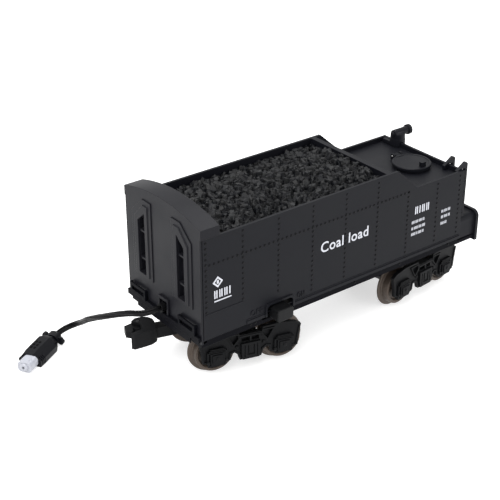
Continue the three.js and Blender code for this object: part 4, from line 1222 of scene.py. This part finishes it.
# ------------------------------------------------------------------ trucks
SIDE_HALF = [
    (0, 9),
    (5.9, 9),
    (6.5, 11.2),
    (16.8, 11.6),
    (24, 10.3),
    (26.6, 8.6),
    (25.3, 1.5),
    (24.9, -3),
    (22.2, -3.8),
    (22, -5.8),
    (13, -5.8),
    (12.2, -4.4),
    (10.4, -3.7),
    (10, -0.6),
    (8.4, -0.2),
    (6.6, -1.6),
    (5.6, -4.9),
    (0, -5.2),
]
FACE = 21.9
AXLE_X = 17.5


def drawn_in(points, distance):
    """An outline moved inwards. The points run clockwise."""
    inner = []
    for i, point in enumerate(points):
        before, after = Vector(points[i - 1]), Vector(points[(i + 1) % len(points)])
        here = Vector(point)
        a, b = (here - before).normalized(), (after - here).normalized()
        na, nb = Vector((a.y, -a.x)), Vector((b.y, -b.x))
        across = (na + nb).normalized()
        inner.append(tuple(here + across * (distance / max(0.55, across.dot(na)))))
    return inner


def bolt_head(radius, rises, tip, spot, steps):
    """A chamfered round head on the sideframe's face. Rises are its foot, shoulder and tip above the face."""
    foot, shoulder, top = (FACE + rise for rise in rises)
    return turned([(0, foot), (radius, foot), (radius, shoulder), (tip, top), (0, top)], "y", spot, steps)


def sideframe_mesh():
    """Cast sideframe in the truck's frame, its face towards +y."""
    half = SIDE_HALF[1:-1]
    points = [SIDE_HALF[0], *half, SIDE_HALF[-1], *[(-x, z) for x, z in reversed(half)]]
    plate = prism(points, "y", (FACE - 2.0, FACE))
    hollow = prism(drawn_in(points, 0.9), "y", (FACE - 0.5, FACE + 1))
    window = block((-4.6, 4.6), (FACE - 3, FACE + 1), (4.9, 7.7))
    adds, cuts = [], [hollow, window]
    adds.append(block((-0.45, 0.45), (FACE - 1.6, FACE), (4.6, 8.0)))
    adds.append(block((-5.6, 5.6), (FACE - 1.5, FACE + 0.3), (7.6, 8.4)))
    seat = [(-5.0, 4.2), (5.0, 4.2), (5.0, -1.6), (4.3, -4.7), (-4.3, -4.7), (-5.0, -1.6)]
    adds.append(prism(seat, "y", (FACE - 1.0, FACE + 0.8)))
    slot = [(-1.9, 3.0), (-1.1, 3.0), (-1.1, -1.6), (1.1, -1.6), (1.1, 3.0), (1.9, 3.0), (1.9, -2.6)]
    slot.append((-1.9, -2.6))
    grooves = [prism(slot, "y", (FACE + 0.3, FACE + 2))]
    for end in (-1, 1):
        pocket = [(6.4, 7.2), (8.9, 4.2), (11.8, 9.3), (6.6, 9.4)]
        cuts.append(prism([(end * x, z) for x, z in pocket], "y", (FACE - 1.3, FACE + 2)))
        rim = [(5.8, 7.0), (8.9, 3.2), (12.6, 9.9), (6.0, 10.0)]
        adds.append(prism([(end * x, z) for x, z in rim], "y", (FACE - 0.6, FACE + 0.25)))
        adds.append(bolt_head(0.85, (-1, 0, 0.4), 0.5, (end * 7.0, 2.6), 16))
        grooves.append(block(sorted((end * 3.0, end * 3.5)), (FACE + 0.4, FACE + 2), (-3.6, 3.2)))
        x = end * AXLE_X
        box = [(-3.7, 2.3), (3.7, 2.3), (3.7, -3.2), (2.9, -4.4), (-2.9, -4.4), (-3.7, -3.2)]
        adds.append(prism([(x + u, v) for u, v in box], "y", (FACE - 0.9, FACE + 1.2)))
        adds.append(prism([(x + u * 0.72, -0.9 + (v + 0.9) * 0.72) for u, v in box], "y", (FACE, FACE + 1.7)))
        adds.append(bolt_head(1.0, (0, 1.9, 2.1), 0.6, (x, -0.6), 18))
        for k, reach in enumerate((4.9, 4.3, 3.6)):
            z = 2.5 + 0.72 * k
            adds.append(block((x - reach, x + reach), (FACE - 0.9, FACE + 0.95 - 0.1 * k), (z, z + 0.5)))
        for foot in (-1, 1):
            at = x + foot * 4.6
            adds.append(bolt_head(0.95, (-1, 0.8, 1.1), 0.6, (at, -2.7), 16))
            adds.append(block((at - 0.55, at + 0.55), (FACE - 1, FACE + 0.5), (-2.4, 3.0)))
    opened = carved(plate, cuts=cuts[:2])
    built = carved(reopened(opened), adds)
    return carved(reopened(built), cuts=[*cuts[2:], *grooves])


WHEEL_PROFILE = [
    (1.7, 0.4),
    (3.6, 0.3),
    (4.2, 0.9),
    (8.2, 1.2),
    (9.2, 0.2),
    (9.8, 0.0),
    (11.9, 0.0),
    (12.25, 0.15),
    (12.4, 0.55),
    (12.3, 1.0),
    (11.9, 1.3),
    (10.6, 1.5),
    (10.2, 1.9),
    (10.0, 5.3),
    (9.7, 5.6),
    (8.6, 5.6),
    (8.2, 5.2),
    (7.7, 4.1),
    (4.2, 4.1),
    (3.6, 4.6),
    (3.2, 5.35),
    (1.7, 5.4),
]
BACK = 13.3


def wheel_mesh(side):
    """A wheel on its axle line, inside face towards the truck's middle, with five round dimples."""
    profile = [(radius, side * (BACK + w)) for radius, w in WHEEL_PROFILE]
    disc = turned([*profile, profile[0]], "y", (0, 0), 72)
    dimples = []
    for k in range(5):
        turn = math.radians(72 * k)
        spot = (6.0 * math.cos(turn), 6.0 * math.sin(turn))
        span = sorted((side * (BACK + 3.4), side * (BACK + 6)))
        dimples.append(rod(1.1, span, "y", spot, 18))
    return carved(disc, [], dimples)


class TENDER_OT_trucks(bpy.types.Operator):
    """Two four-wheel trucks with cast sideframes"""

    bl_idname = "tender.trucks"
    bl_label = "Trucks"

    def execute(self, context):
        side_mesh = sideframe_mesh()
        wheels = {side: wheel_mesh(side) for side in (-1, 1)}
        for end, place in TRUCKS.items():
            body = f"{end}_truck"
            for name, side in (("left", -1), ("right", 1)):
                casting = side_mesh.copy()
                if side < 0:
                    casting.transform(Matrix.Rotation(math.pi, 4, "Z"))
                title, node = f"{end}_sideframe_{name}", f"{end}_truck_sideframe_{name}"
                piece(title, casting, place, body, FINISHES["truck"], [node], 0.18)
            dressed(f"{end}_truck_bolster", FINISHES["truck"], 0.3)
            dressed(f"{end}_coupler_rivet", FINISHES["steel"], 0.1)
            for spot, x in (("outer", -AXLE_X), ("inner", AXLE_X)):
                body, metal = f"{end}_{spot}_wheelset", FINISHES["wheel"]
                axle_line = place @ Matrix.Translation((x, 0, 0))
                for name, side in (("left", -1), ("right", 1)):
                    title, node = f"{end}_{spot}_tyre_{name}", f"{end}_{spot}_wheel_{name}"
                    disc = wheels[side].copy()
                    piece(title, disc, axle_line, body, metal, [node], crease=30)
                dressed(f"{end}_{spot}_axle", FINISHES["blackened"], 0.1)
        return {"FINISHED"}


class TENDER_OT_couplers(bpy.types.Operator):
    """Knuckle couplers at both ends"""

    bl_idname = "tender.couplers"
    bl_label = "Couplers"

    def execute(self, context):
        for end in TRUCKS:
            dressed(f"{end}_coupler_body", FINISHES["truck"], 1.1, 4)
            dressed(f"{end}_knuckle", FINISHES["truck"], 0.9, 4)
            dressed(f"{end}_knuckle_pin", FINISHES["blackened"], 0.1)
        return {"FINISHED"}


class TENDER_OT_inside(bpy.types.Operator):
    """Board, speaker, battery and the fixings"""

    bl_idname = "tender.inside"
    bl_label = "Inside"

    def execute(self, context):
        dressed("circuit_board", FINISHES["board"], 0.1)
        dressed("speaker", FINISHES["cell"], 0.2)
        dressed("battery", FINISHES["cell"], 0.5)
        for end in TRUCKS:
            dressed(f"{end}_kingpin", FINISHES["steel"], 0.15)
            for name in ("left", "right"):
                dressed(f"body_screw_{end}_{name}", FINISHES["steel"], 0.15)
        return {"FINISHED"}


class TENDER_PT_panel(bpy.types.Panel):
    """Steps that build the tender"""

    bl_label = "Tender"
    bl_idname = "TENDER_PT_panel"
    bl_space_type = "VIEW_3D"
    bl_region_type = "UI"
    bl_category = "Tender"

    def draw(self, context):
        layout = self.layout
        for group in (context.scene.tender_sizes, context.scene.tender_colours):
            for name in group.__annotations__:
                layout.prop(group, name)
        for step in STEPS:
            layout.operator(step.bl_idname)


STEPS = [
    TENDER_OT_stage,
    TENDER_OT_plug,
    TENDER_OT_cable,
    TENDER_OT_body,
    TENDER_OT_rivets,
    TENDER_OT_markings,
    TENDER_OT_coal,
    TENDER_OT_deck,
    TENDER_OT_switch,
    TENDER_OT_trucks,
    TENDER_OT_couplers,
    TENDER_OT_inside,
]
CLASSES = [TenderSizes, TenderColours, *STEPS, TENDER_PT_panel]


def register():
    for cls in CLASSES:
        bpy.utils.register_class(cls)
    bpy.types.Scene.tender_sizes = PointerProperty(type=TenderSizes)
    bpy.types.Scene.tender_colours = PointerProperty(type=TenderColours)


def unregister():
    del bpy.types.Scene.tender_sizes
    del bpy.types.Scene.tender_colours
    for cls in reversed(CLASSES):
        bpy.utils.unregister_class(cls)


def main():
    register()
    make_finishes()
    for step in STEPS:
        category, name = step.bl_idname.split(".")
        getattr(getattr(bpy.ops, category), name)()


if __name__ == "__main__":
    main()
